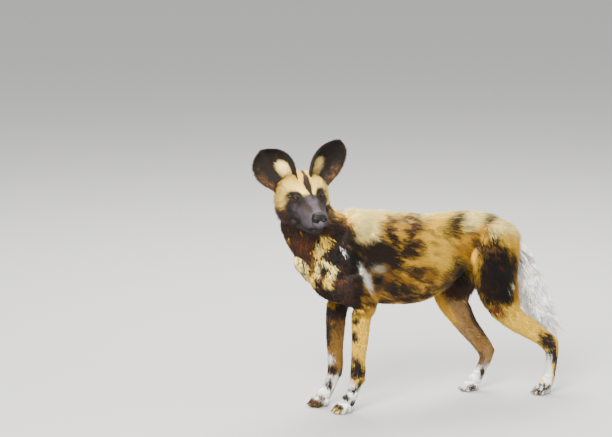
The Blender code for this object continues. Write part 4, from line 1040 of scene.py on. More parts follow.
        # Dark streak down beside the cheek, and the back of the head
        streak = np.hypot((x + 0.082 + 0.25 * (z + 0.04)) / 0.011, (z + 0.045) / 0.040)
        lay(Tone.DARK, smoothstep(1.15, 0.75, streak + 0.25 * rough + 50 * step) * 0.9)
        back = smoothstep(-0.085, -0.125, x + 0.020 * rough)
        lay(Tone.OCHRE, back * (0.35 + 0.3 * smoothstep(-0.5, 0.5, rough)))
        nape = bell(y / 0.022) * smoothstep(-0.10, -0.125, x + 0.01 * rough)
        lay(Tone.BROWN, nape * smoothstep(-0.4, 0.4, fine + rough) * 0.55)
        # Mask over the muzzle, the lower face and below the eyes
        top, wide = traced(self.MASK_TOP, np.abs(y)), traced(self.MASK_SIDE, z)
        front = smoothstep(-0.062, -0.042, x + 0.20 * (z + 0.03) + 0.006 * rough + step)
        mask = smoothstep(0.005, -0.004, z - top - 0.004 * rough - step)
        mask *= smoothstep(0.005, -0.004, np.abs(y) - wide - 0.004 * rough - step) * front
        muzzle = smoothstep(0.004, 0.018, x + 0.004 * rough)
        mask = np.maximum(mask, muzzle)
        lay(Tone.MASK, mask)
        bridge = smoothstep(0.026, 0.004, np.abs(y)) * smoothstep(-0.045, -0.010, z) * mask
        lay(Tone.MASK_LIGHT, bridge * 0.75)
        under = smoothstep(-0.010, -0.022, z) * smoothstep(-0.078, -0.055, z)
        under *= smoothstep(0.062, 0.045, np.abs(y))
        lay(Tone.MASK_LIGHT, mask * under * 0.5)
        lay(Tone.MASK_LIGHT, mask * smoothstep(0.1, 0.9, fine) * 0.18)
        lay(Tone.DARK, mask * smoothstep(-0.050, -0.075, z) * 0.55)
        # Rings round the eyes
        for side in (1, -1):
            ring = np.hypot((y - side * 0.0385) / 0.0200, (z - 0.0045 + 0.12 * (side * y - 0.04)) / 0.0150)
            lay(Tone.BLACK, smoothstep(1.12, 0.80, ring + 0.10 * rough) * smoothstep(-0.05, -0.03, x))
            inner = np.hypot((y - side * 0.019) / 0.009, (z + 0.006) / 0.007)
            lay(Tone.DARK, smoothstep(1.3, 0.6, inner) * smoothstep(-0.04, -0.02, x) * 0.8)
        # Stripe from the crown to between the eyes
        middle, wide = traced(self.STRIPE_ASIDE, z), traced(self.STRIPE_WIDTH, z)
        stripe = smoothstep(1.25, 0.80, np.abs(y - middle) / wide + 0.22 * rough + 60 * step)
        lay(Tone.DARK, stripe * smoothstep(0.004, 0.012, z) * smoothstep(-0.088, -0.070, x))
        # Lips and chin
        near = np.abs(z - traced(MOUTH_LINE, x))
        lay(Tone.BLACK, smoothstep(0.0055, 0.002, near) * smoothstep(-0.004, 0.006, x))
        return paint.colours

    def coat(self, points: Array, normals: Array, stray: Array | None = None) -> Array:
        """The colours of the whole skin, tail included.

        Args:
            points: The places.
            normals: Out of the skin.
            stray: A number for each tuft that moves the patches' edges, none for the skin itself.

        Returns:
            A linear colour for each.
        """
        stray = np.zeros(len(points)) if stray is None else stray
        colours = self.body(points, normals, stray)
        share = head_share(points)
        chosen = share > 0
        head = self.head(points[chosen], stray[chosen])
        colours[chosen] += (head - colours[chosen]) * share[chosen][:, None]
        tail, along = tail_share(points)
        chosen = tail > 0
        brush = self.brush(points[chosen], along[chosen])
        colours[chosen] += (brush - colours[chosen]) * tail[chosen][:, None]
        return colours

    def brush(self, points: Array, along: Array) -> Array:
        """The colours of the tail.

        Args:
            points: The places.
            along: How far down the tail each is, 0 to 1.

        Returns:
            A linear colour for each.
        """
        rough = noise(points, (90, 90, 35), 9, 3)
        paint = Paint(np.tile(self.tones[Tone.WHITE], (len(points), 1)))
        line = TAIL_LINE[np.round(along * (len(TAIL_LINE) - 1)).astype(int)]
        front = smoothstep(0.004, -0.010, points[:, 0] - line[:, 0] + 0.006 * rough)
        paint.lay(Tone.CREAM, smoothstep(0.30, 0.10, along))
        paint.lay(Tone.DARK, front * smoothstep(0.42, 0.30, along + 0.08 * rough))
        band = bell((along - 0.36) / 0.085)
        paint.lay(Tone.GREY, band * smoothstep(0.10, 0.55, rough) * 0.85)
        return paint.colours


@dataclass(frozen=True)
class Eye:
    """One eye and its lids. Its own frame is at the middle of the ball, with x along the gaze.

    Attributes:
        node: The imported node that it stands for.
        side: 1 for the dog's left, -1 for its right.
        radius: Of the ball.
        apart: From one eye's middle to the other's.
        depth: How far the middle lies behind the point between the eyes.
        splay: Degrees that the gaze turns outwards.
        rise: Degrees that it turns up.
        lid_thickness: Of the lids over the ball.
        half_width: Of the lids' opening.
        half_height: Of the same.
        slant: How much its outer corner is raised, as a share.
        iris: Its linear colour.
        pupil_rim: The colour that the iris gains towards the pupil.
        dark: The colour round the iris.
    """

    node: str
    side: int
    radius: float = 0.0125
    apart: float = 0.077
    depth: float = 0.0045
    splay: float = 21.0
    rise: float = 9.0
    lid_thickness: float = 0.0030
    half_width: float = 0.0122
    half_height: float = 0.0078
    slant: float = 0.04
    iris: tuple = (0.027, 0.0095, 0.0036)
    pupil_rim: tuple = (0.018, 0.008, 0.003)
    dark: tuple = (0.008, 0.006, 0.006)

    def place(self) -> Matrix:
        """The eye's own frame.

        Returns:
            The matrix from it to the design frame.
        """
        splay = Matrix.Rotation(math.radians(self.splay) * self.side, 4, "Z")
        gaze = splay @ Matrix.Rotation(-math.radians(self.rise), 4, "Y")
        return HEAD @ Matrix.Translation((-self.depth, self.side * self.apart / 2, 0)) @ gaze

    def opening(self, local: Array) -> Array:
        """How far out places lie in the lids' opening, an ellipse: 0 in its middle and 1 on its edge.

        Args:
            local: The places, in the eye's own frame.

        Returns:
            A number for each.
        """
        height = local[:, 2] - local[:, 1] * self.side * self.slant
        return np.hypot(local[:, 1] / self.half_width, height / self.half_height)

    def opened(self, points: Array) -> Array:
        """The head's skin with the lids open: sunk in the ball inside them, and laid on it at their edge.

        Args:
            points: The skin's places.

        Returns:
            The new places.
        """
        place = self.place()
        local = moved(points, place.inverted())
        span = self.opening(local)
        near = (local[:, 0] > 0) & (np.linalg.norm(local, axis=1) < self.radius * 2)
        inside, edge = near & (span < 1.0), near & (span >= 1.0) & (span < 1.35)
        local[inside] = unit(local[inside]) * self.radius * 0.86
        goal = unit(local[edge]) * (self.radius + 0.0012)
        local[edge] += (goal - local[edge]) * smoothstep(1.35, 1.0, span[edge])[:, None]
        return moved(local, place)

    def globe(self) -> Surface:
        """The ball with its cornea, iris and pupil, coloured by the angle from the gaze.

        Returns:
            The surface.
        """
        made = ball((0, 0, 0), (self.radius,) * 3, 64, 48)
        made.points = made.points[:, [2, 0, 1]]
        away = np.arctan2(np.hypot(made.points[:, 1], made.points[:, 2]), made.points[:, 0])
        cornea = 0.0007 * smoothstep(0.62, 0.30, away)
        made.points += unit(made.points) * cornea[:, None]
        angle = np.arctan2(made.points[:, 2], made.points[:, 1])
        rays = noise(np.stack([np.cos(angle) * 3, np.sin(angle) * 3, away * 2], -1), 4.0, 60, 2)
        iris = np.array(self.iris) * (1 + 0.35 * rays)[:, None]
        inner = smoothstep(0.26, 0.42, away)[:, None]
        iris = iris * (0.55 + 0.9 * (1 - inner)) + np.array(self.pupil_rim) * (1 - inner)
        colours = np.tile(self.dark, (len(away), 1))
        colours += (iris - colours) * smoothstep(0.60, 0.54, away)[:, None]
        ring = smoothstep(0.46, 0.54, away) * smoothstep(0.66, 0.60, away)
        colours *= (1 - 0.85 * ring)[:, None]
        colours *= 1 - 0.97 * smoothstep(0.275, 0.240, away)[:, None]
        made.colours = np.clip(colours, 0.001, 1)
        made.points = moved(made.points, self.place())
        return made

    def rim(self) -> Surface:
        """The bare dark rim of the lids: a thin tube on the ball round the opening, thicker at its corners.

        Returns:
            A closed tube.
        """
        around, sides = 72, 12
        angle = 2 * math.pi * np.arange(around) / around
        y = self.half_width * 1.02 * np.cos(angle)
        z = self.half_height * 1.02 * np.sin(angle) * (1 - 0.25 * np.cos(angle) ** 2)
        z = z + y * self.side * self.slant
        radius = self.radius + 0.0004
        x = np.sqrt(np.maximum(radius**2 - y**2 - z**2, 0.003**2))
        centre = np.stack([x, y, z], -1)
        out = unit(centre)
        along = unit(np.roll(centre, -1, 0) - np.roll(centre, 1, 0))
        beside = np.cross(out, along)
        turn = 2 * math.pi * np.arange(sides) / sides
        thick = 0.0011 + 0.0005 * np.abs(np.cos(angle)) ** 3
        points = centre[:, None] + (np.cos(turn)[None, :, None] * out[:, None] * 0.0011)
        points = points + np.sin(turn)[None, :, None] * beside[:, None] * thick[:, None, None] * 1.35
        i, j = np.meshgrid(np.arange(around), np.arange(sides), indexing="ij")
        n, m = (i + 1) % around, (j + 1) % sides
        faces = np.stack([i * sides + j, i * sides + m, n * sides + m, n * sides + j], -1).reshape(-1, 4)
        return Surface(moved(points.reshape(-1, 3), self.place()), [faces])


@dataclass(frozen=True)
class Ear:
    """One ear, a round cup with its base sunk in the head. Its own frame has x the way it opens, z up.

    Attributes:
        name: The node and the skin's part.
        side: 1 for the dog's left, -1 for its right.
        base: Its place in the head's frame.
        lean: Degrees that it leans over.
        turn: Degrees that its cup is turned.
        tuft_middle: Where the pale tuft is across the cup, 0 in its middle and 1 at the edge by the crown.
        tuft_half: The tuft's half width on that scale.
        thickness: Of the wall.
        height: From base to tip.
        half_width: Where the ear is widest.
        base_share: Width at the base, as a share of the widest.
        widest: How far up it is widest, as a share.
        rows: Points up a wall.
        columns: Points across it.
    """

    name: str
    side: int
    base: tuple
    lean: float
    turn: float
    tuft_middle: float
    tuft_half: float
    thickness: float = 0.0042
    height: float = 0.118
    half_width: float = 0.059
    base_share: float = 0.64
    widest: float = 0.42
    rows: int = 40
    columns: int = 44

    def place(self) -> Matrix:
        """The ear's own frame.

        Returns:
            The matrix from it to the design frame.
        """
        lean = Matrix.Rotation(math.radians(self.lean), 4, "X")
        turned_to = lean @ Matrix.Rotation(math.radians(self.turn), 4, "Z")
        return HEAD @ Matrix.Translation(self.base) @ turned_to

    def point(self, u: Array, v: Array, layer: float) -> Array:
        """Places of the inner (layer 0) or outer wall (1): arcs whose width follows the outline.

        Args:
            u: Across, -1 to 1.
            v: From base to tip, 0 to 1.
            layer: Share of the wall's thickness.

        Returns:
            The places in the ear's frame.
        """
        low = self.base_share + (1 - self.base_share) * np.sin(math.pi / 2 * np.minimum(v / self.widest, 1))
        high = np.sqrt(np.maximum(1 - ((v - self.widest) / (1.0003 - self.widest)) ** 2, 0.0))
        share = np.where(v < self.widest, low, high)
        v = v**0.85
        # The curl fades with the width, so that the rim runs round the tip without a corner
        curl = np.radians(95 - 62 * v) * (1 - (1 - share) ** 4)
        angle = u * curl
        across = self.half_width * share * np.sin(angle) / np.sin(curl)
        depth = self.half_width * share * (1 - np.cos(angle)) / np.sin(curl)
        bowl = -0.020 * np.sin(math.pi * np.minimum(v * 0.9 + 0.05, 1)) + 0.006 * v
        rim = (1 - np.abs(u) ** 6 * 0.45) * (1 - v**6 * 0.45)
        wall = self.thickness * layer * rim
        forward = depth * 0.9 + bowl - wall * np.cos(angle)
        height = self.height * v - 0.012 * (1 - v)
        return np.stack([forward, across + wall * np.sin(angle), height], -1)

    def colours(self, u: Array, v: Array, inner: bool) -> Array:
        """The colours of a wall.

        Args:
            u: Across, -1 to 1.
            v: From base to tip.
            inner: Which wall.

        Returns:
            A linear colour for each place.
        """
        medial = -u * self.side
        spots = np.stack([u * 0.06, v * 0.12, np.full(len(u), 0.3 * self.side)], -1)
        rough, fine = noise(spots, 90, 41, 3), noise(spots, 260, 42, 2)
        ground = Tone.BLACK if inner else Tone.DARK
        paint = Paint(np.tile(ground.linear(), (len(u), 1)))
        lay = paint.lay
        if inner:
            aside = (medial - self.tuft_middle - 0.10 * (v - 0.2)) / self.tuft_half
            patch = np.hypot(aside, (v - 0.15) / 0.22)
            strands = np.stack([u * 0.16, v * 0.03, np.full(len(u), 0.3 * self.side)], -1)
            streaks = noise(strands, 260, 43, 2)
            lay(Tone.BROWN, smoothstep(2.2, 1.0, patch + 0.35 * rough) * 0.8)
            lay(Tone.TAN, smoothstep(1.6, 0.8, patch + 0.35 * rough) * 0.7)
            outer = smoothstep(-0.45, -0.85, medial + 0.2 * rough) * smoothstep(0.60, 0.25, v + 0.15 * rough)
            lay(Tone.BROWN, outer * 0.8)
            lay(Tone.TAN, outer * smoothstep(0.0, 0.6, fine) * 0.7)
            flecks = smoothstep(0.3, 0.9, fine) * smoothstep(0.2, 0.45, v) * smoothstep(0.9, 0.6, v)
            lay(Tone.RUST, flecks * 0.22)
            lay(Tone.CREAM, smoothstep(1.10, 0.60, patch + 0.35 * streaks) * 0.88)
            lay(Tone.BROWN, smoothstep(0.8, 0.95, v) * smoothstep(0.0, 0.6, rough) * 0.4)
            # Away from the pale tuft the inner wall is painted darker: painted shade in the cup
            paint.colours *= (0.72 + 0.28 * smoothstep(1.3, 0.7, patch))[:, None]
        else:
            lay(Tone.BROWN, smoothstep(-0.1, 0.7, rough) * 0.6)
            base = smoothstep(0.32, 0.10, v + 0.05 * rough)
            lay(Tone.TAN, base * smoothstep(-0.1, 0.5, fine + 0.4 * rough) * 0.7)
        lay(Tone.BLACK, smoothstep(0.50, 0.85, medial) * 0.9)
        return paint.colours

    def cup(self) -> Surface:
        """The skin of both walls, joined round the rim.

        Returns:
            The surface, inner wall first.
        """
        rows, columns = self.rows, self.columns
        rise = np.sin(np.linspace(0, math.pi / 2, rows))
        v, u = np.meshgrid(rise, np.linspace(-1, 1, columns), indexing="ij")
        points = np.concatenate([self.point(u, v, layer).reshape(-1, 3) for layer in (0.0, 1.0)])
        faces = grid_faces(rows, columns)
        count = rows * columns
        edge = list(range(columns))
        edge += [i * columns + columns - 1 for i in range(1, rows)]
        edge += [(rows - 1) * columns + j for j in range(columns - 2, -1, -1)]
        edge += [i * columns for i in range(rows - 2, 0, -1)]
        edge = np.array(edge)
        after = np.roll(edge, -1)
        rim = np.stack([after, edge, edge + count, after + count], -1)
        colours = np.vstack([self.colours(u.ravel(), v.ravel(), inner) for inner in (True, False)])
        return Surface(moved(points, self.place()), [faces, faces[:, ::-1] + count, rim], colours)


@dataclass(frozen=True)
class Paw:
    """One paw. Its own frame is on the floor, with x forward.

    Attributes:
        name: The skin's part.
        spot: Its place on the floor.
        heading: Degrees that it is turned from straight ahead.
        size: Scale of the paw.
        leg: The stations of its leg.
        toes: Reach, distance aside and radius of each toe.
        claw_length: How far a claw stands out.
        claw_radius: At its root.
        sole_sink: How far the rounded pads reach under the floor before they are cut flat.
    """

    name: str
    spot: tuple
    heading: float
    size: float
    leg: list
    toes: tuple = (
        (0.031, 0.0088, 0.0105), (0.031, -0.0088, 0.0105), (0.018, 0.0205, 0.0098), (0.018, -0.0205, 0.0098),
    )
    claw_length: float = 0.011
    claw_radius: float = 0.0026
    sole_sink: float = 0.0015

    def place(self) -> Matrix:
        """The paw's own frame.

        Returns:
            The matrix from it to the design frame.
        """
        turn = Matrix.Rotation(math.pi + math.radians(self.heading), 4, "Z")
        return Matrix.Translation((*self.spot, -self.sole_sink)) @ turn @ Matrix.Scale(self.size, 4)

    def forms(self) -> list[Surface]:
        """The pad and the toes, to be fused.

        Returns:
            The forms.
        """
        pads = (((-0.002, 0, 0.018), (0.024, 0.022, 0.020)), ((-0.004, 0, 0.034), (0.020, 0.0195, 0.024)))
        forms = [ball(centre, radii) for centre, radii in pads]
        for reach, aside, radius in self.toes:
            rows = [
                (0.000, aside * 0.55, 0.025, radius, radius, radius),
                (reach * 0.60, aside * 0.9, 0.022, radius, radius, radius),
                (reach, aside, 0.0105, radius * 0.86, radius * 0.86, radius * 0.9),
            ]
            forms.append(loft(rows, (0, 0, 1), 16, 4))
        for form in forms:
            form.points = moved(form.points, self.place())
        return forms

    def claws(self) -> list[Surface]:
        """A bent dark claw on every toe.

        Returns:
            The claws.
        """
        found = []
        for reach, aside, radius in self.toes:
            root = reach + radius * 0.35
            rows = [
                (root, aside, 0.0135, *(self.claw_radius,) * 3),
                (root + self.claw_length * 0.5, aside, 0.0125, *(self.claw_radius * 0.8,) * 3),
                (root + self.claw_length * 0.9, aside, 0.0082, *(self.claw_radius * 0.4,) * 3),
            ]
            claw = loft(rows, (0, 0, 1), 12, 5)
            claw.points = moved(claw.points, self.place())
            found.append(claw)
        return found


@dataclass(frozen=True)
class Nose:
    """The bare nose pad, in the head's frame.

    Attributes:
        nostril_out: From the middle of the pad to the middle of a nostril.
        nostril_depth: Of the hole.
        slit_out: From the middle to the slit beside the nostril.
        slit_depth: Of the slit.
        wing_rise: Of the pad over the nostril.
        crease_depth: Of the groove down the middle.
        colour: Its linear colour.
    """

    nostril_out: float = 0.0112
    nostril_depth: float = 0.0070
    slit_out: float = 0.0180
    slit_depth: float = 0.0026
    wing_rise: float = 0.0009
    crease_depth: float = 0.0012
    colour: tuple = (0.0060, 0.0056, 0.0066)

    def pad(self) -> Surface:
        """The pad with its nostrils, each a bell pressed into it.

        Returns:
            The surface.
        """
        made = loft(upright(NOSE), (0, 0, 1), 96, 24, 0.75, 0.0055, 14)
        normals = made.normals()
        x, y, z = made.points.T
        move, light = np.zeros(len(x)), np.ones(len(x))
        for side in (1, -1):
            out = side * y
            track = -0.0275 + 0.004 * np.clip((out - 0.006) / 0.014, 0, 1) ** 2
            hole = bell((out - self.nostril_out) / 0.0060, (z - track) / 0.0044) * smoothstep(0.096, 0.104, x)
            slit = bell((out - self.slit_out) / 0.0050, (z + 0.0245) / 0.0020) * smoothstep(0.088, 0.098, x)
            move -= self.nostril_depth * hole + self.slit_depth * slit
            move += self.wing_rise * bell((out - 0.0110) / 0.008, (z + 0.0200) / 0.0030)
            # The nostrils and the slits are also painted darker: painted shade in the hollows
            light -= 0.95 * np.clip(hole * 1.6 + slit, 0, 1)
        crease = bell(y / 0.0010) * smoothstep(-0.020, -0.028, z) * smoothstep(0.1, 0.106, x)
        move -= self.crease_depth * crease
        made.colours = np.array(self.colour)[None] * np.clip(light, 0.05, 1)[:, None]
        made.points = moved(made.points + normals * move[:, None], HEAD)
        return made


EYES = (Eye("eye_left", 1), Eye("eye_right", -1))
EARS = (
    Ear("ear_left", 1, (-0.078, 0.051, 0.036), -34.5, 16.0, 0.06, 0.095),
    Ear("ear_right", -1, (-0.078, -0.052, 0.036), 37.0, -16.0, 0.20, 0.050),
)
PAWS = (
    Paw("forepaw_left", (-0.219, -0.057), 4.0, 1.00, FORELEG_LEFT),
    Paw("forepaw_right", (-0.256, 0.046), -6.0, 1.00, FORELEG_RIGHT),
    Paw("hindpaw_left", (0.444, -0.065), 4.0, 0.94, HINDLEG_LEFT),
    Paw("hindpaw_right", (0.256, 0.060), -4.0, 0.94, HINDLEG_RIGHT),
)


def head_share(points: Array) -> Array:
    """How far each place belongs to the head rather than the neck.

    Args:
        points: The places.

    Returns:
        A number from 0 to 1 for each.
    """
    height = (points - np.array((-0.330, -0.045, 0.600))) @ np.array((-0.30, -0.30, 0.906))
    return smoothstep(-0.014, 0.016, height + 0.008 * noise(points, 70, 21))


TAIL_LINE = spline([row[0] for row in TAIL], 10)


def tail_share(points: Array) -> tuple[Array, Array]:
    """How far each place belongs to the tail, and how far along it lies.

    Args:
        points: The places.

    Returns:
        Two numbers from 0 to 1 for each.
    """
    share, along = np.zeros(len(points)), np.zeros(len(points))
    near = np.nonzero((points[:, 0] > 0.33) & (np.abs(points[:, 1]) < 0.045) & (points[:, 2] > 0.14))[0]
    if len(near):
        away = np.linalg.norm(points[near][:, None] - TAIL_LINE[None], axis=2)
        nearest = away.argmin(axis=1)
        along[near] = nearest / (len(TAIL_LINE) - 1)
        share[near] = smoothstep(0.030, 0.022, away.min(axis=1)) * smoothstep(0.10, 0.30, along[near])
    return share, along


@dataclass(frozen=True)
class Bone:
    """A stretch of the body along which the hair lies one way.

    Attributes:
        start: One end.
        end: The other end.
        lie: The way the hair points.
        length: Of the hair.
        lift: How steeply it stands off the skin.
        width: Of a tuft.
        reach: How far its say goes, in metres.
    """

    start: tuple
    end: tuple
    lie: tuple
    length: float
    lift: float
    width: float
    reach: float = 0.05


def leg_bones(stations: list, length: float, foot: float) -> list[Bone]:
    """Bones down a leg, with the hair shortening to the foot.

    Args:
        stations: The leg's stations.
        length: Of the hair at the top.
        foot: Of the hair at the foot.

    Returns:
        The bones.
    """
    places = [row[0] for row in stations]
    found = []
    for k, (a, b) in enumerate(zip(places, places[1:])):
        share = k / (len(places) - 2)
        way = Vector(b) - Vector(a)
        way = (way.normalized() + Vector((0.25, 0, 0))).normalized()
        size = length + (foot - length) * min(1.0, share * 1.3)
        found.append(Bone(a, b, tuple(way), size, 0.20, 0.0021 - 0.0006 * share, 0.028))
    return found


# The lie of the coat on the head, in the head's frame: from where to where, the way the hair points, its
# length and lift, a tuft's width, and how far its say goes
HEAD_LIE = [
    # Muzzle, brow, cheeks, crown and jaw
    ((0.10, 0, -0.03), (0.04, 0, -0.03), (-1, 0, -0.1), 0.0040, 0.12, 0.0011, 0.030),
    ((0.02, 0, -0.02), (-0.01, 0, 0.01), (-1, 0, 0.5), 0.0055, 0.15, 0.0012, 0.030),
    ((-0.02, 0.0, 0.02), (-0.07, 0, 0.045), (-1, 0, 0.4), 0.0100, 0.22, 0.0016, 0.035),
    ((-0.10, 0.0, 0.04), (-0.12, 0, -0.02), (-0.5, 0, -0.9), 0.0160, 0.26, 0.0020, 0.035),
    ((-0.02, 0.055, -0.03), (-0.08, 0.08, -0.03), (-1, 0.1, -0.5), 0.0130, 0.26, 0.0018, 0.032),
    ((-0.02, -0.055, -0.03), (-0.08, -0.08, -0.03), (-1, -0.3, -0.6), 0.0170, 0.36, 0.0018, 0.032),
    ((-0.04, 0.05, -0.08), (-0.10, 0.06, -0.08), (-0.8, 0.1, -0.8), 0.0220, 0.34, 0.0022, 0.032),
    ((-0.04, -0.05, -0.08), (-0.10, -0.06, -0.08), (-0.8, -0.1, -0.8), 0.0220, 0.34, 0.0022, 0.032),
    ((0.07, 0, -0.08), (0.0, 0, -0.09), (-1, 0, -0.2), 0.0070, 0.18, 0.0014, 0.030),
]
# The same for the body, in the design frame
BODY_LIE = [
    # Throat, neck, chest
    ((-0.400, -0.060, 0.590), (-0.370, -0.040, 0.540), (0.15, 0.1, -1), 0.022, 0.20, 0.0024, 0.050),
    ((-0.390, -0.020, 0.530), (-0.350, 0.000, 0.450), (0.30, 0.0, -1), 0.018, 0.16, 0.0025, 0.050),
    ((-0.290, -0.030, 0.640), (-0.240, 0.000, 0.600), (0.9, 0.1, -0.4), 0.030, 0.26, 0.0028, 0.050),
    ((-0.280, 0.000, 0.560), (-0.250, 0.000, 0.480), (0.6, 0, -0.8), 0.026, 0.22, 0.0028, 0.060),
    ((-0.330, 0.000, 0.430), (-0.270, 0.000, 0.350), (0.7, 0, -0.8), 0.019, 0.17, 0.0025, 0.050),
    # Withers, back, flanks, belly, rump
    ((-0.210, 0.000, 0.610), (-0.120, 0.000, 0.605), (1, 0, -0.1), 0.036, 0.24, 0.0030, 0.045),
    ((-0.060, 0.000, 0.600), (0.200, 0.000, 0.590), (1, 0, -0.1), 0.026, 0.18, 0.0028, 0.060),
    ((-0.150, 0.000, 0.480), (0.060, 0.000, 0.470), (1, 0, -0.45), 0.022, 0.16, 0.0028, 0.090),
    ((0.080, 0.000, 0.480), (0.180, 0.000, 0.470), (1, 0, -0.60), 0.022, 0.16, 0.0028, 0.080),
    ((-0.180, 0.000, 0.330), (0.040, 0.000, 0.320), (1, 0, -0.25), 0.022, 0.18, 0.0027, 0.050),
    ((0.240, 0.000, 0.570), (0.330, 0.000, 0.540), (1, 0, -0.5), 0.030, 0.22, 0.0029, 0.050),
    ((0.350, 0.000, 0.520), (0.360, 0.000, 0.440), (0.4, 0, -1), 0.032, 0.26, 0.0029, 0.040),
    # Shoulders and thighs
    ((-0.190, -0.060, 0.540), (-0.250, -0.075, 0.440), (0.5, 0, -1), 0.021, 0.16, 0.0027, 0.050),
    ((-0.190, 0.060, 0.540), (-0.250, 0.075, 0.440), (0.5, 0, -1), 0.021, 0.16, 0.0027, 0.050),
    ((-0.260, -0.080, 0.420), (-0.170, -0.085, 0.370), (0.7, 0, -0.8), 0.020, 0.18, 0.0025, 0.040),
    ((-0.260, 0.080, 0.420), (-0.170, 0.085, 0.370), (0.7, 0, -0.8), 0.020, 0.18, 0.0025, 0.040),
    ((0.260, -0.080, 0.500), (0.275, -0.095, 0.320), (0.35, 0, -1), 0.021, 0.18, 0.0026, 0.055),
    ((0.250, 0.080, 0.500), (0.190, 0.095, 0.330), (0.35, 0, -1), 0.021, 0.18, 0.0026, 0.055),
    ((0.335, -0.070, 0.470), (0.345, -0.085, 0.340), (0.3, 0, -1), 0.030, 0.26, 0.0028, 0.035),
    ((0.320, 0.065, 0.470), (0.265, 0.085, 0.340), (0.2, 0, -1), 0.030, 0.26, 0.0028, 0.035),
]


def all_bones() -> list[Bone]:
    """Every stretch of the body with its hair.

    Returns:
        The bones, from the head back to the tail.
    """
    turn = HEAD.to_3x3()
    found = []
    for start, end, way, *hair in HEAD_LIE:
        ends = [tuple(HEAD @ Vector(place)) for place in (start, end)]
        found.append(Bone(*ends, tuple(turn @ Vector(way)), *hair))
    found += [Bone(*row) for row in BODY_LIE]
    for leg in (FORELEG_LEFT[2:], FORELEG_RIGHT[2:]):
        found += leg_bones(leg, 0.0125, 0.0070)
    for leg in (HINDLEG_LEFT[1:], HINDLEG_RIGHT[1:]):
        found += leg_bones(leg, 0.0140, 0.0070)
    for paw in PAWS:
        x, y = paw.spot
        found.append(Bone((x, y, 0.012), (x - 0.03, y, 0.008), (-1, 0, -0.3), 0.0060, 0.22, 0.0014, 0.016))
    line = [row[0] for row in TAIL[1:]]
    for k, (a, b) in enumerate(zip(line, line[1:])):
        found.append(Bone(a, b, tuple(Vector(b) - Vector(a)), 0.040 + 0.040 * k / 5, 0.40, 0.0025, 0.030))
    return found


class Lie:
    """The lie of the coat: how the hair points, and its size, at any place on the skin."""

    def __init__(self, bones: list[Bone]) -> None:
        """Reads the bones.

        Args:
            bones: The stretches of the body.
        """
        self.start = np.array([b.start for b in bones])
        self.span = np.array([b.end for b in bones]) - self.start
        self.ways = unit(np.array([b.lie for b in bones], float))
        self.sizes = np.array([(b.length, b.lift, b.width) for b in bones])
        self.reach = np.array([b.reach for b in bones])

    def at(self, points: Array) -> tuple[Array, Array]:
        """The hair at each place.

        Args:
            points: The places.

        Returns:
            Its direction, and its length, lift and tuft width.
        """
        total = np.zeros(len(points))
        way = np.zeros((len(points), 3))
        size = np.zeros((len(points), 3))
        floor = np.full(len(points), 1e9)
        shares = []
        for start, span, reach in zip(self.start, self.span, self.reach):
            step = points - start
            t = np.clip((step @ span) / (span @ span), 0, 1)
            gap = np.linalg.norm(step - t[:, None] * span, axis=1) / reach
            shares.append(gap)
            floor = np.minimum(floor, gap)
        for gap, ways, sizes in zip(shares, self.ways, self.sizes):
            weight = np.exp(-3.0 * (gap**2 - floor**2))
            total += weight
            way += weight[:, None] * ways
            size += weight[:, None] * sizes
        return unit(way / total[:, None]), size / total[:, None]


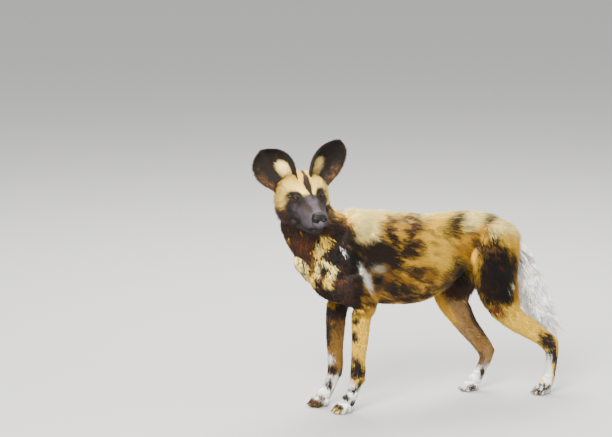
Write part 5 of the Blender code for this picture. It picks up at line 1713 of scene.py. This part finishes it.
class Skin:
    """The one skin under the coat."""

    def __init__(self, lie: Lie, markings: Markings) -> None:
        """Keeps what the skin is made with.

        Args:
            lie: Gives the coat's depth.
            markings: Gives its colours.
        """
        self.lie = lie
        self.markings = markings

    def build(self) -> tuple[Surface, dict[str, Surface]]:
        """Makes the skin.

        Returns:
            The whole skin, and its parts by name.
        """
        parts = {"body": self.body(), "head": self.head()}
        for paw in PAWS:
            parts[paw.name] = self.paw(paw)
        for ear in EARS:
            parts[ear.name] = ear.cup()
        for name, part in parts.items():
            LOG.info("skin part %s: %d points", name, len(part.points))
        return Surface.joined(list(parts.values())), parts

    def sunk(self, skin: Surface, share: float = 0.85) -> None:
        """Moves a skin in by the coat's depth.

        Args:
            skin: Changed in place.
            share: Of the depth.
        """
        _, size = self.lie.at(skin.points)
        depth = np.minimum(size[:, 0] * size[:, 1] * share, 0.009)
        skin.points -= skin.normals() * depth[:, None]

    def body(self) -> Surface:
        """Trunk, neck, limbs and tail.

        Returns:
            The skin.
        """
        forms = [loft(upright(TRUNK), (0, 0, 1)), loft(NECK), loft(TAIL, sides=20)]
        for side in (-1, 1):
            forms += [loft(mirrored(SHOULDER, side)), loft(mirrored(UPPER_ARM, side))]
        limbs = (FORELEG_LEFT, FORELEG_RIGHT, THIGH_LEFT, HINDLEG_LEFT, THIGH_RIGHT, HINDLEG_RIGHT)
        forms += [loft(rows) for rows in limbs]
        forms += [ball(centre, radii) for centre, radii in BODY_MASSES]
        skull = loft(upright(CRANIUM), (0, 0, 1))
        skull.points = moved(skull.points, HEAD)
        skin = fused([*forms, skull], BODY_VOXEL, BODY_SMOOTHING)
        skin = self.cropped(skin, (skin.points[:, 2] > 0.050) & (head_share(skin.points) < 0.9))
        self.sunk(skin)
        skin.colours = self.markings.coat(skin.points, skin.normals())
        # The skin is painted darker as shade under the coat, and nearly its own colour under the white tail
        skin.colours *= 0.58 + 0.40 * tail_share(skin.points)[0][:, None]
        return skin

    @staticmethod
    def cropped(skin: Surface, keep: Array) -> Surface:
        """A skin without the faces that touch dropped points.

        Args:
            skin: The skin.
            keep: True for each point that stays.

        Returns:
            The rest.
        """
        number = np.cumsum(keep) - 1
        faces = [number[f[keep[f].all(axis=1)]] for f in skin.faces]
        return Surface(skin.points[keep], faces)

    def head(self) -> Surface:
        """Cranium, muzzle, jaw and cheeks with the top of the neck.

        Returns:
            The skin.
        """
        forms = [loft(upright(rows), (0, 0, 1), sides=40, spans=8) for rows in (CRANIUM, MUZZLE, JAW)]
        for (x, y, z), radii in HEAD_MASSES:
            forms += [ball((x, side * y, z), radii) for side in (1, -1)]
        for eye in EYES:
            centre = HEAD_BACK @ eye.place().translation
            forms.append(ball(tuple(centre), (eye.radius + eye.lid_thickness,) * 3, 32, 20))
        for form in forms:
            form.points = moved(form.points, HEAD)
        skin = fused([*forms, loft(NECK[1:], sides=48, spans=10)], HEAD_VOXEL, HEAD_SMOOTHING)
        skin = self.cropped(skin, head_share(skin.points) > 0.02)
        self.sculpt(skin)
        self.sunk(skin)
        skin.colours = self.markings.coat(skin.points, skin.normals())
        # The skin is painted darker as shade under the hair, less so from the eyes forward to the muzzle
        local = moved(skin.points, HEAD_BACK)
        bare = smoothstep(-0.02, 0.02, local[:, 0])
        skin.colours *= (0.6 + 0.35 * bare)[:, None]
        return skin

    def sculpt(self, skin: Surface) -> None:
        """Cuts the mouth's line and the folds, in bells over the skin, and opens the lids.

        Args:
            skin: Changed in place.
        """
        local = moved(skin.points, HEAD_BACK)
        out = turned(skin.normals(), HEAD_BACK)
        x, y, z = local.T
        lips = traced(MOUTH_LINE, x)
        aside = np.abs(y) + 0.2 * np.maximum(x - 0.04, 0)
        on_mouth = smoothstep(-0.004, 0.006, x) * smoothstep(0.004, 0.012, aside)
        on_mouth = np.maximum(on_mouth, smoothstep(0.07, 0.08, x))
        groove = bell((z - lips) / 0.0016) * on_mouth
        swell = bell((z - lips - 0.006) / 0.0045) * on_mouth * smoothstep(0.0, 0.03, x)
        lower = bell((z - lips + 0.005) / 0.0035) * on_mouth * smoothstep(0.0, 0.03, x)
        philtrum = bell(y / 0.0012) * smoothstep(0.088, 0.096, x) * smoothstep(-0.060, -0.056, z)
        philtrum *= smoothstep(-0.040, -0.044, z)
        stop = bell((x - 0.006) / 0.014, y / 0.010) * smoothstep(-0.02, 0.0, z)
        tear = sum(bell((y - side * 0.024) / 0.005, (z + 0.012) / 0.010) for side in (1, -1))
        move = -0.0024 * groove + 0.0011 * swell + 0.0006 * lower - 0.0014 * philtrum - 0.0016 * stop
        move -= 0.0012 * tear * smoothstep(-0.03, 0.0, x)
        pores = noise(skin.points, 900, 30) * smoothstep(0.0, 0.03, x)
        move += 0.00010 * pores
        local = local + out * move[:, None]
        skin.points = moved(local, HEAD)
        for eye in EYES:
            skin.points = eye.opened(skin.points)

    def paw(self, paw: Paw) -> Surface:
        """One paw with the end of its leg.

        Args:
            paw: The paw.

        Returns:
            The skin.
        """
        skin = fused([*paw.forms(), loft(paw.leg[-4:])], PAW_VOXEL, PAW_SMOOTHING)
        skin = self.cropped(skin, skin.points[:, 2] < 0.066)
        self.sunk(skin, 0.7)
        skin.points[:, 2] = np.maximum(skin.points[:, 2], 0.0)
        # The skin is painted darker by a quarter, as shade under the hair
        skin.colours = self.markings.coat(skin.points, skin.normals()) * 0.75
        return skin


@dataclass
class Roots:
    """Where tufts grow, and how.

    Attributes:
        points: Root places.
        normals: Out of the skin.
        ways: The way that the hair lies.
        length: Of each tuft.
        lift: How steeply it stands.
        width: Across each tuft.
        colours: Of each tuft.
        uv: Its place on the piece's unwrap.
    """

    points: Array
    normals: Array
    ways: Array
    length: Array
    lift: Array
    width: Array
    colours: Array
    uv: Array

    @staticmethod
    def joined(parts: list["Roots"]) -> "Roots":
        """Several sets as one.

        Args:
            parts: The sets.

        Returns:
            One set.
        """
        names = Roots.__dataclass_fields__
        return Roots(*(np.concatenate([getattr(part, name) for part in parts]) for name in names))


class Coat:
    """Grows tufts on the skin."""

    # A tuft's patch on the bake map, and how bright its tip is: painted light at the tips
    PATCH, TIP = 0.003, 1.06
    # Tufts on each wall of an ear, and long ones inside its cup
    EAR_TUFTS, LONG_TUFTS = 6500, 1100

    def __init__(self, lie: Lie, markings: Markings) -> None:
        """Keeps what the coat is made with.

        Args:
            lie: Gives the hair's direction and size.
            markings: Gives its colours.
        """
        self.lie = lie
        self.markings = markings
        self.random = np.random.default_rng(SEED)

    def scattered(self, skin: Surface, count: int, weight: Array) -> tuple[Array, Array]:
        """Random places on a skin.

        Args:
            skin: The skin.
            count: How many.
            weight: How densely they lie at each of its points.

        Returns:
            The places and their normals.
        """
        tri = skin.triangles()
        a, b, c = (skin.points[tri[:, k]] for k in range(3))
        area = np.linalg.norm(np.cross(b - a, c - a), axis=1) / 2 * weight[tri].mean(axis=1)
        reach = np.cumsum(area)
        spread = (np.arange(count) + self.random.random(count)) / count * reach[-1]
        index = np.minimum(np.searchsorted(reach, spread), len(tri) - 1)
        r1, r2 = np.sqrt(self.random.random(count)), self.random.random(count)
        share = np.stack([1 - r1, r1 * (1 - r2), r1 * r2], -1)
        normals = skin.normals()
        points = (skin.points[tri[index]] * share[..., None]).sum(axis=1)
        return points, unit((normals[tri[index]] * share[..., None]).sum(axis=1))

    def dressed(self, points: Array, normals: Array) -> Roots:
        """Roots with the hair that grows there.

        Args:
            points: Places on the skin.
            normals: Their normals.

        Returns:
            The roots, with no bake places yet.
        """
        ways, size = self.lie.at(points)
        count = len(points)
        flow = np.stack([noise(points, 35, 50 + k) for k in range(3)], -1)
        ways = ways + 0.22 * flow + 0.12 * self.random.normal(size=(count, 3))
        ways = unit(ways - normals * (ways * normals).sum(axis=1)[:, None])
        clump = noise(points, 110, 54)
        length = size[:, 0] * self.random.uniform(0.75, 1.2, count) * (1 + 0.12 * clump)
        lift = size[:, 1] * self.random.uniform(0.6, 1.3, count) * (1 + 0.25 * clump)
        width = size[:, 2] * self.random.uniform(0.8, 1.2, count)
        along = length * (0.35 + 0.22 * self.random.normal(size=count))
        stray = np.clip(self.random.normal(0, 1, count), -2, 2)
        colours = self.varied(self.markings.coat(points + ways * along[:, None], normals, stray))
        return Roots(points, normals, ways, length, lift, width, colours, np.zeros((count, 2)))

    def on_ear(self, ear: Ear, layer: int) -> Roots:
        """Short hair on one wall of an ear, and the long pale tufts inside its cup.

        Args:
            ear: The ear.
            layer: 0 for the inner wall, 1 for the outer one.

        Returns:
            The roots.
        """
        random, count, side = self.random, self.EAR_TUFTS, ear.side
        u, v = random.uniform(-1, 1, count), random.uniform(0, 0.995, count) ** 0.8
        if layer == 0:
            u = np.append(u, -side * random.normal(ear.tuft_middle, 0.55 * ear.tuft_half, self.LONG_TUFTS))
            v = np.append(v, random.uniform(0.01, 0.25, self.LONG_TUFTS))
            count += self.LONG_TUFTS
        here = ear.point(u, v, layer)
        before, after = np.clip(u - 0.01, -1, 1), np.clip(u + 0.01, -1, 1)
        below, above = np.maximum(v - 0.01, 0), np.minimum(v + 0.01, 1)
        du = ear.point(after, v, layer) - ear.point(before, v, layer)
        dv = ear.point(u, above, layer) - ear.point(u, below, layer)
        outwards = 1 if layer == 0 else -1
        normal = unit(np.cross(du, dv)) * outwards
        normal = np.where(normal[:, :1] * outwards < 0, -normal, normal)
        spread = here * np.array((0.0, 0.9 / ear.half_width, 0.0)) + np.array((0.0, 0.0, 1.0))
        way = unit(spread + 0.16 * random.normal(size=(count, 3)))
        rim = np.maximum(smoothstep(0.80, 1.0, np.abs(u)), smoothstep(0.85, 1.0, v))
        length = 0.0065 + 0.003 * random.random(count) + 0.002 * rim
        lift = np.full(count, 0.14) * random.uniform(0.6, 1.4, count) + 0.15 * rim
        width = np.full(count, 0.0012) * random.uniform(0.8, 1.2, count)
        if layer == 0:
            long = np.arange(count) >= self.EAR_TUFTS
            length = np.where(long, random.uniform(0.022, 0.034, count), length)
            lift = np.where(long, 0.20, lift)
            tilt = unit(dv * 0.9 - du * side * 0.2 + 0.004 * random.normal(size=(count, 3)))
            way = np.where(long[:, None], tilt, way)
        colours = self.varied(ear.colours(u, v, layer == 0))
        place = ear.place()
        normal, way = turned(normal, place), turned(way, place)
        way = unit(way - normal * (way * normal).sum(axis=1)[:, None])
        # Each wall has its own quarter of the bake map
        quarter = np.array((layer, 0 if side == 1 else 1))
        uv = np.stack([u * 0.48 + 0.5, v * 0.96 + 0.02], -1) * 0.5 + 0.5 * quarter
        return Roots(moved(here, place), normal, way, length, lift, width, colours, uv)

    def varied(self, colours: Array) -> Array:
        """Each tuft's colour a little off the pattern's, with stray hairs of the other kind.

        Args:
            colours: The pattern's colours.

        Returns:
            The tufts' colours.
        """
        count = len(colours)
        light = colours.mean(axis=1)
        colours = colours * np.exp(self.random.normal(0, 0.16, count))[:, None]
        colours = colours * (1 + self.random.normal(0, 0.025, (count, 3)))
        stray = self.random.random(count)
        dark, tan = Tone.BROWN.linear(), Tone.RUST.linear()
        pale = (light > 0.25) & (stray < 0.025)
        deep = (light < 0.05) & (stray < 0.025)
        colours[pale] = colours[pale] * 0.35 + dark * 0.65
        colours[deep] = colours[deep] * 0.6 + tan * 0.4
        return np.clip(colours, 0.003, 0.95)

    def tufts(self, roots: Roots, steps: int = 2, depth: float = 0.62) -> Surface:
        """Closed three-sided tufts that bend along the lie and come to a point.

        Args:
            roots: Where and how they grow.
            steps: Sections before the point.
            depth: Brightness at the root, as a share: painted shade among the hair.

        Returns:
            All of them as one surface.
        """
        count = len(roots.points)
        across = np.cross(roots.normals, roots.ways)
        bend = self.random.normal(0, 0.10, count)
        shares = np.linspace(0, 1, steps + 1)
        rings = []
        for share in shares:
            rise = roots.lift * share * (1.35 - 0.35 * share) * roots.length
            middle = roots.points + roots.ways * (share * roots.length)[:, None]
            middle += across * (bend * share**2 * roots.length)[:, None] + roots.normals * rise[:, None]
            if share == 1:
                rings.append(middle[:, None])
                break
            half = roots.width * (0.5 if share == 0 else 0.55 * (1 - share) + 0.16)
            if share == 0:
                middle -= roots.normals * (roots.width * 0.5)[:, None]
            ring = [middle + across * half[:, None], middle + roots.normals * (half * 0.8)[:, None]]
            rings.append(np.stack([*ring, middle - across * half[:, None]], 1))
        points = np.concatenate(rings, axis=1)
        points[..., 2] = np.maximum(points[..., 2], 0.0002)
        size = points.shape[1]
        start = np.arange(count)[:, None] * size
        quads = []
        for step in range(steps - 1):
            for a, b in ((0, 1), (1, 2), (2, 0)):
                low, high = 3 * step, 3 * step + 3
                quads.append(start + np.array([low + b, low + a, high + a, high + b]))
        tip = 3 * steps
        tris = [start + np.array([0, 1, 2])]
        for a, b in ((0, 1), (1, 2), (2, 0)):
            tris.append(start + np.array([tip - 3 + b, tip - 3 + a, tip]))
        # Painted shade and light: each tuft is darker towards its root and lighter than its own colour at the
        # tip
        tones = [np.full(3, depth + (1 - depth) * min(1, 1.6 * share)) for share in shares[:-1]]
        tones = np.concatenate([*tones, [self.TIP]])
        colours = roots.colours[:, None] * tones[None, :, None]
        offset = np.array([*[(0.5, 0.0), (0.0, 0.0), (-0.5, 0.0)] * steps, (0.0, 0.5)])
        offset[:, 1] += np.concatenate([np.full(3, s - 0.5) for s in shares[:-1]] + [[0.0]])
        uv = roots.uv[:, None] + offset[None] * self.PATCH
        faces = [np.vstack(quads), np.vstack(tris)] if quads else [np.vstack(tris)]
        return Surface(points.reshape(-1, 3), faces, colours.reshape(-1, 3), uv.reshape(-1, 2))


class Studio:
    """Makes the objects, lights and camera."""

    # The photo's viewing angle: the body is turned and seen from a little above, from far off
    AZIMUTH, ELEVATION, DISTANCE = -22.0, 11.0, 11.0
    PICTURE = (612, 437)
    PIXELS_PER_METRE = 325.0
    ORIGIN_PIXEL = (404.0, 402.0)

    def material(self, finish: Finish) -> bpy.types.Material:
        """The material of a finish, made once.

        Args:
            finish: The finish.

        Returns:
            The material.
        """
        found = bpy.data.materials.get(finish.name)
        if found:
            return found
        made = bpy.data.materials.new(finish.name)
        made.use_nodes = True
        nodes, links = made.node_tree.nodes, made.node_tree.links
        shader = nodes["Principled BSDF"]
        shader.inputs["Roughness"].default_value = finish.roughness
        shader.inputs["Specular IOR Level"].default_value = finish.specular
        if finish.colour:
            shader.inputs["Base Color"].default_value = (*finish.colour, 1)
        else:
            attribute = nodes.new("ShaderNodeAttribute")
            attribute.attribute_name = "coat"
            links.new(attribute.outputs["Color"], shader.inputs["Base Color"])
        if finish.bump:
            place = nodes.new("ShaderNodeTexCoord")
            grain = nodes.new("ShaderNodeTexNoise")
            grain.inputs["Scale"].default_value = finish.grain
            grain.inputs["Detail"].default_value = 3
            bump = nodes.new("ShaderNodeBump")
            bump.inputs["Distance"].default_value = finish.bump
            links.new(place.outputs["Object"], grain.inputs["Vector"])
            links.new(grain.outputs["Fac"], bump.inputs["Height"])
            links.new(bump.outputs["Normal"], shader.inputs["Normal"])
        return made

    def piece(self, name: str, surface: Surface, finish: Finish, replaces: tuple = ()) -> bpy.types.Object:
        """An object of the dog.

        Args:
            name: Its name.
            surface: Its mesh.
            finish: Its look.
            replaces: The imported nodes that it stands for.

        Returns:
            The object.
        """
        obj = bpy.data.objects.new(name, surface.mesh(name))
        bpy.context.scene.collection.objects.link(obj)
        obj.data.materials.append(self.material(finish))
        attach(obj, "root")
        if replaces:
            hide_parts(*replaces)
        LOG.info("piece %s: %d triangles", name, sum(len(f) * (f.shape[1] - 2) for f in surface.faces))
        return obj

    def floor(self) -> None:
        """A wide pale floor."""
        size = 60.0
        mesh = bpy.data.meshes.new("floor")
        corners = [(-size, -size, 0), (size, -size, 0), (size, size, 0), (-size, size, 0)]
        mesh.from_pydata(corners, [], [(0, 1, 2, 3)])
        obj = bpy.data.objects.new("floor", mesh)
        bpy.context.scene.collection.objects.link(obj)
        obj.data.materials.append(self.material(Finish("floor", "", 0.9, (0.27, 0.285, 0.315), specular=0.1)))

    def lights(self) -> None:
        """A large warm key from the upper left, a soft fill, and a bright even sky."""
        world = bpy.data.worlds.new("world")
        bpy.context.scene.world = world
        world.use_nodes = True
        background = world.node_tree.nodes["Background"]
        background.inputs["Color"].default_value = (1.0, 0.955, 0.86, 1)
        background.inputs["Strength"].default_value = 1.7
        for name, place, size, power, colour in (
            ("key", (-2.6, -3.2, 3.4), 2.2, 1350, (1.0, 0.92, 0.77)),
            ("fill", (3.4, -3.4, 1.8), 3.0, 210, (1.0, 0.96, 0.90)),
            ("top", (0.6, 1.8, 3.4), 2.4, 560, (1.0, 0.93, 0.80)),
        ):
            data = bpy.data.lights.new(name, "AREA")
            data.size, data.energy, data.color = size, power, colour
            light = bpy.data.objects.new(name, data)
            bpy.context.scene.collection.objects.link(light)
            light.location = place
            light.rotation_mode = "QUATERNION"
            light.rotation_quaternion = (Vector((0, 0, 0.4)) - Vector(place)).to_track_quat("-Z", "Y")

    def camera(self) -> None:
        """The camera, where the photo was taken from."""
        a, e = math.radians(self.AZIMUTH), math.radians(self.ELEVATION)
        back = Vector((math.sin(a) * math.cos(e), -math.cos(a) * math.cos(e), math.sin(e)))
        right = Vector((math.cos(a), math.sin(a), 0))
        up = back.cross(right)
        width, height = self.PICTURE
        aim = right * ((width / 2 - self.ORIGIN_PIXEL[0]) / self.PIXELS_PER_METRE)
        aim += up * ((self.ORIGIN_PIXEL[1] - height / 2) / self.PIXELS_PER_METRE)
        data = bpy.data.cameras.new("camera")
        camera = bpy.data.objects.new("camera", data)
        bpy.context.scene.collection.objects.link(camera)
        bpy.context.scene.camera = camera
        data.sensor_width = 36
        data.lens = 36 * self.DISTANCE * self.PIXELS_PER_METRE / width
        data.clip_end = 200
        camera.location = aim - Vector(MIDDLE) + back * self.DISTANCE
        camera.rotation_mode = "QUATERNION"
        camera.rotation_quaternion = (-back).to_track_quat("-Z", "Y")


COATS = {
    slot: Finish(f"fur_{slot}", slot, 0.62, specular=0.22)
    for slot in ("body_coat", "dark_coat", "face_coat", "white_coat")
}
SKIN = Finish("skin", "body_coat", 0.75, bump=0.0008, grain=500, specular=0.25)
NOSE_SKIN = Finish("nose_pad_skin", "nose_skin", 0.34, bump=0.0004, grain=1400, specular=0.07)
WET = Finish("eye_surface", "eye", 0.07, specular=0.16)
LID_SKIN = Finish("lid_skin", "nose_skin", 0.55, (0.0035, 0.003, 0.003), specular=0.2)
HORN = Finish("claw_horn", "nose_skin", 0.35, (0.020, 0.016, 0.014), specular=0.5)


class Dog:
    """Puts the dog together."""

    FLESH = (
        "head", "neck", "torso", "hips", "tail", "ear_left", "ear_right",
        "foreleg_left", "foreleg_right", "hindleg_left", "hindleg_right",
        "forepaw_left", "forepaw_right", "hindpaw_left", "hindpaw_right",
    )
    # Tufts on each stretch of the coat, and the slots of those that aren't the body's
    COUNTS = {
        "face": 45000, "neck": 15500, "left_front": 33000, "left_middle": 36000, "left_rear": 34000,
        "right_front": 27000, "right_rear": 31000, "forelegs": 30000, "hindlegs": 30000, "tail": 12000,
    }
    SLOTS = {"face": "face_coat", "neck": "dark_coat", "tail": "white_coat"}
    # Bare places: out from the lids' opening, round the nose in the head's frame, and beside the mouth's line
    LID_MARGIN, LIP_MARGIN = 1.45, 0.0022
    NOSE_HALF_SIZE, NOSE_HEIGHT = (0.0225, 0.019), -0.026
    # What the bake map is unwrapped around: a point in the head's frame, and a height in the trunk
    HEAD_CENTRE, TRUNK_HEIGHT = (-0.045, 0, -0.03), 0.46
    # Heights of the soles' edge and of the body's end at the legs
    SOLE, LEG_TOP = 0.004, 0.31
    # Where the stretches meet along the body: behind the neck, then those of the left and the right side
    NECK_END, LEFT_FRONT_END, LEFT_MIDDLE_END, RIGHT_FRONT_END = -0.225, -0.06, 0.14, 0.06

    def __init__(self) -> None:
        """Makes the tools that the pieces share."""
        self.lie = Lie(all_bones())
        self.markings = Markings()
        self.skin = Skin(self.lie, self.markings)
        self.coat = Coat(self.lie, self.markings)
        self.studio = Studio()

    def build(self) -> None:
        """Makes every piece."""
        whole, parts = self.skin.build()
        self.studio.piece("skin", whole, SKIN, self.FLESH)
        self.grow(parts)
        self.features()

    def grow(self, parts: dict[str, Surface]) -> None:
        """Grows the coat, piece by piece.

        Args:
            parts: The skin's parts.
        """
        base = Surface.joined([parts[name] for name in parts if not name.startswith("ear")])
        points = base.points
        _, size = self.lie.at(points)
        weight = 1 / size[:, 2] ** 2
        head = head_share(points)
        tail, _ = tail_share(points)
        low = points[:, 2] < self.LEG_TOP
        x, y = points[:, 0], points[:, 1]
        body = (head < 0.5) & (tail < 0.5) & ~low
        bare = points[:, 2] < self.SOLE
        trunk = body & (x >= self.NECK_END)
        left, right = trunk & (y < 0), trunk & (y >= 0)
        regions = {
            "face": head >= 0.5,
            "neck": body & (x < self.NECK_END),
            "left_front": left & (x < self.LEFT_FRONT_END),
            "left_middle": left & (x >= self.LEFT_FRONT_END) & (x < self.LEFT_MIDDLE_END),
            "left_rear": left & (x >= self.LEFT_MIDDLE_END),
            "right_front": right & (x < self.RIGHT_FRONT_END),
            "right_rear": right & (x >= self.RIGHT_FRONT_END),
            "forelegs": low & (x < 0) & (tail < 0.5),
            "hindlegs": low & (x >= 0) & (tail < 0.5),
            "tail": tail >= 0.5,
        }
        for name, mask in regions.items():
            places, normals = self.coat.scattered(base, self.COUNTS[name], weight * mask * ~bare)
            if name == "face":
                keep = self.off_features(places)
                places, normals = places[keep], normals[keep]
            roots = self.coat.dressed(places, normals)
            roots.uv = self.unwrapped(name, roots.points)
            steps = {"tail": 3, "neck": 2}.get(name, 1)
            roots.width *= 0.68 if steps == 1 else 1.0
            coat = COATS[self.SLOTS.get(name, "body_coat")]
            # Tufts are painted darker at the root as shade among the hair, less so on the white tail
            tufts = self.coat.tufts(roots, steps, 0.9 if name == "tail" else 0.62)
            self.studio.piece(f"coat_{name}", tufts, coat)
        roots = Roots.joined([self.coat.on_ear(ear, layer) for ear in EARS for layer in (0, 1)])
        self.studio.piece("coat_ears", self.coat.tufts(roots, 1), COATS["dark_coat"])

    @staticmethod
    def off_features(points: Array) -> Array:
        """Whether places on the head are clear of the eyes, the nose and the mouth's line.

        Args:
            points: The places.

        Returns:
            True where hair grows.
        """
        keep = np.ones(len(points), bool)
        for eye in EYES:
            local = moved(points, eye.place().inverted())
            near = (local[:, 0] > -0.002) & (np.linalg.norm(local, axis=1) < 0.026)
            keep &= ~((eye.opening(local) < Dog.LID_MARGIN) & near)
        local = moved(points, HEAD_BACK)
        wide, high = Dog.NOSE_HALF_SIZE
        nose = np.hypot(local[:, 1] / wide, (local[:, 2] - Dog.NOSE_HEIGHT) / high)
        keep &= ~((nose < 1.0) & (local[:, 0] > 0.080))
        lips = traced(MOUTH_LINE, local[:, 0])
        keep &= ~((np.abs(local[:, 2] - lips) < Dog.LIP_MARGIN) & (local[:, 0] > 0.004))
        return keep

    @staticmethod
    def unwrapped(name: str, points: Array) -> Array:
        """Each root's place on an unwrap of that stretch of skin.

        Args:
            name: The stretch.
            points: The roots.

        Returns:
            Two numbers from 0 to 1 for each.
        """
        if name == "face":
            local = moved(points, HEAD_BACK) - np.array(Dog.HEAD_CENTRE)
            u = np.arctan2(local[:, 1], local[:, 0]) / (2 * math.pi) + 0.5
            v = np.arctan2(local[:, 2], np.hypot(local[:, 0], local[:, 1])) / math.pi + 0.5
        elif name == "tail":
            away = np.linalg.norm(points[:, None] - TAIL_LINE[None], axis=2)
            nearest = away.argmin(axis=1)
            step = points - TAIL_LINE[nearest]
            u = np.arctan2(step[:, 1], step[:, 0]) / (2 * math.pi) + 0.5
            v = nearest / (len(TAIL_LINE) - 1) + 0.004 * (np.arange(len(points)) % 7 - 3)
        elif name in ("forelegs", "hindlegs"):
            legs = (FORELEG_LEFT, FORELEG_RIGHT) if name == "forelegs" else (HINDLEG_LEFT, HINDLEG_RIGHT)
            u, v = np.zeros(len(points)), points[:, 2] / 0.32
            for number, leg in enumerate(legs):
                mine = (points[:, 1] >= 0) == bool(number)
                line = spline([row[0] for row in leg], 6)[::-1]
                z = np.maximum.accumulate(line[:, 2])
                middle = np.interp(points[mine, 2], z, line[:, 0])
                aside = np.interp(points[mine, 2], z, line[:, 1])
                angle = np.arctan2(points[mine, 1] - aside, points[mine, 0] - middle)
                u[mine] = (angle / (2 * math.pi) + 0.5) * 0.48 + 0.5 * number + 0.01
        else:
            angle = np.arctan2(points[:, 1], points[:, 2] - Dog.TRUNK_HEIGHT)
            u = angle / (2 * math.pi) + 0.5
            v = (points[:, 0] + 0.45) / 0.86
            if name.startswith(("left", "right")):
                u = np.abs(angle) / math.pi
        uv = np.stack([u, v], -1)
        low, high = uv.min(axis=0), uv.max(axis=0)
        return 0.01 + 0.98 * (uv - low) / np.maximum(high - low, 1e-6)

    def features(self) -> None:
        """The eyes with the bare rims of their lids, the nose and the claws."""
        for eye in EYES:
            self.studio.piece(f"{eye.node}_ball", eye.globe(), WET, (eye.node,))
        self.studio.piece("lid_rims", Surface.joined([eye.rim() for eye in EYES]), LID_SKIN)
        self.studio.piece("nose_pad", Nose().pad(), NOSE_SKIN, ("nose",))
        self.studio.piece("claws", Surface.joined([claw for paw in PAWS for claw in paw.claws()]), HORN)


def main() -> None:
    """Builds the scene."""
    logging.basicConfig(level=logging.INFO, format="%(name)s: %(message)s")
    dog = Dog()
    dog.build()
    dog.studio.floor()
    dog.studio.lights()
    dog.studio.camera()


if __name__ == "__main__":
    main()
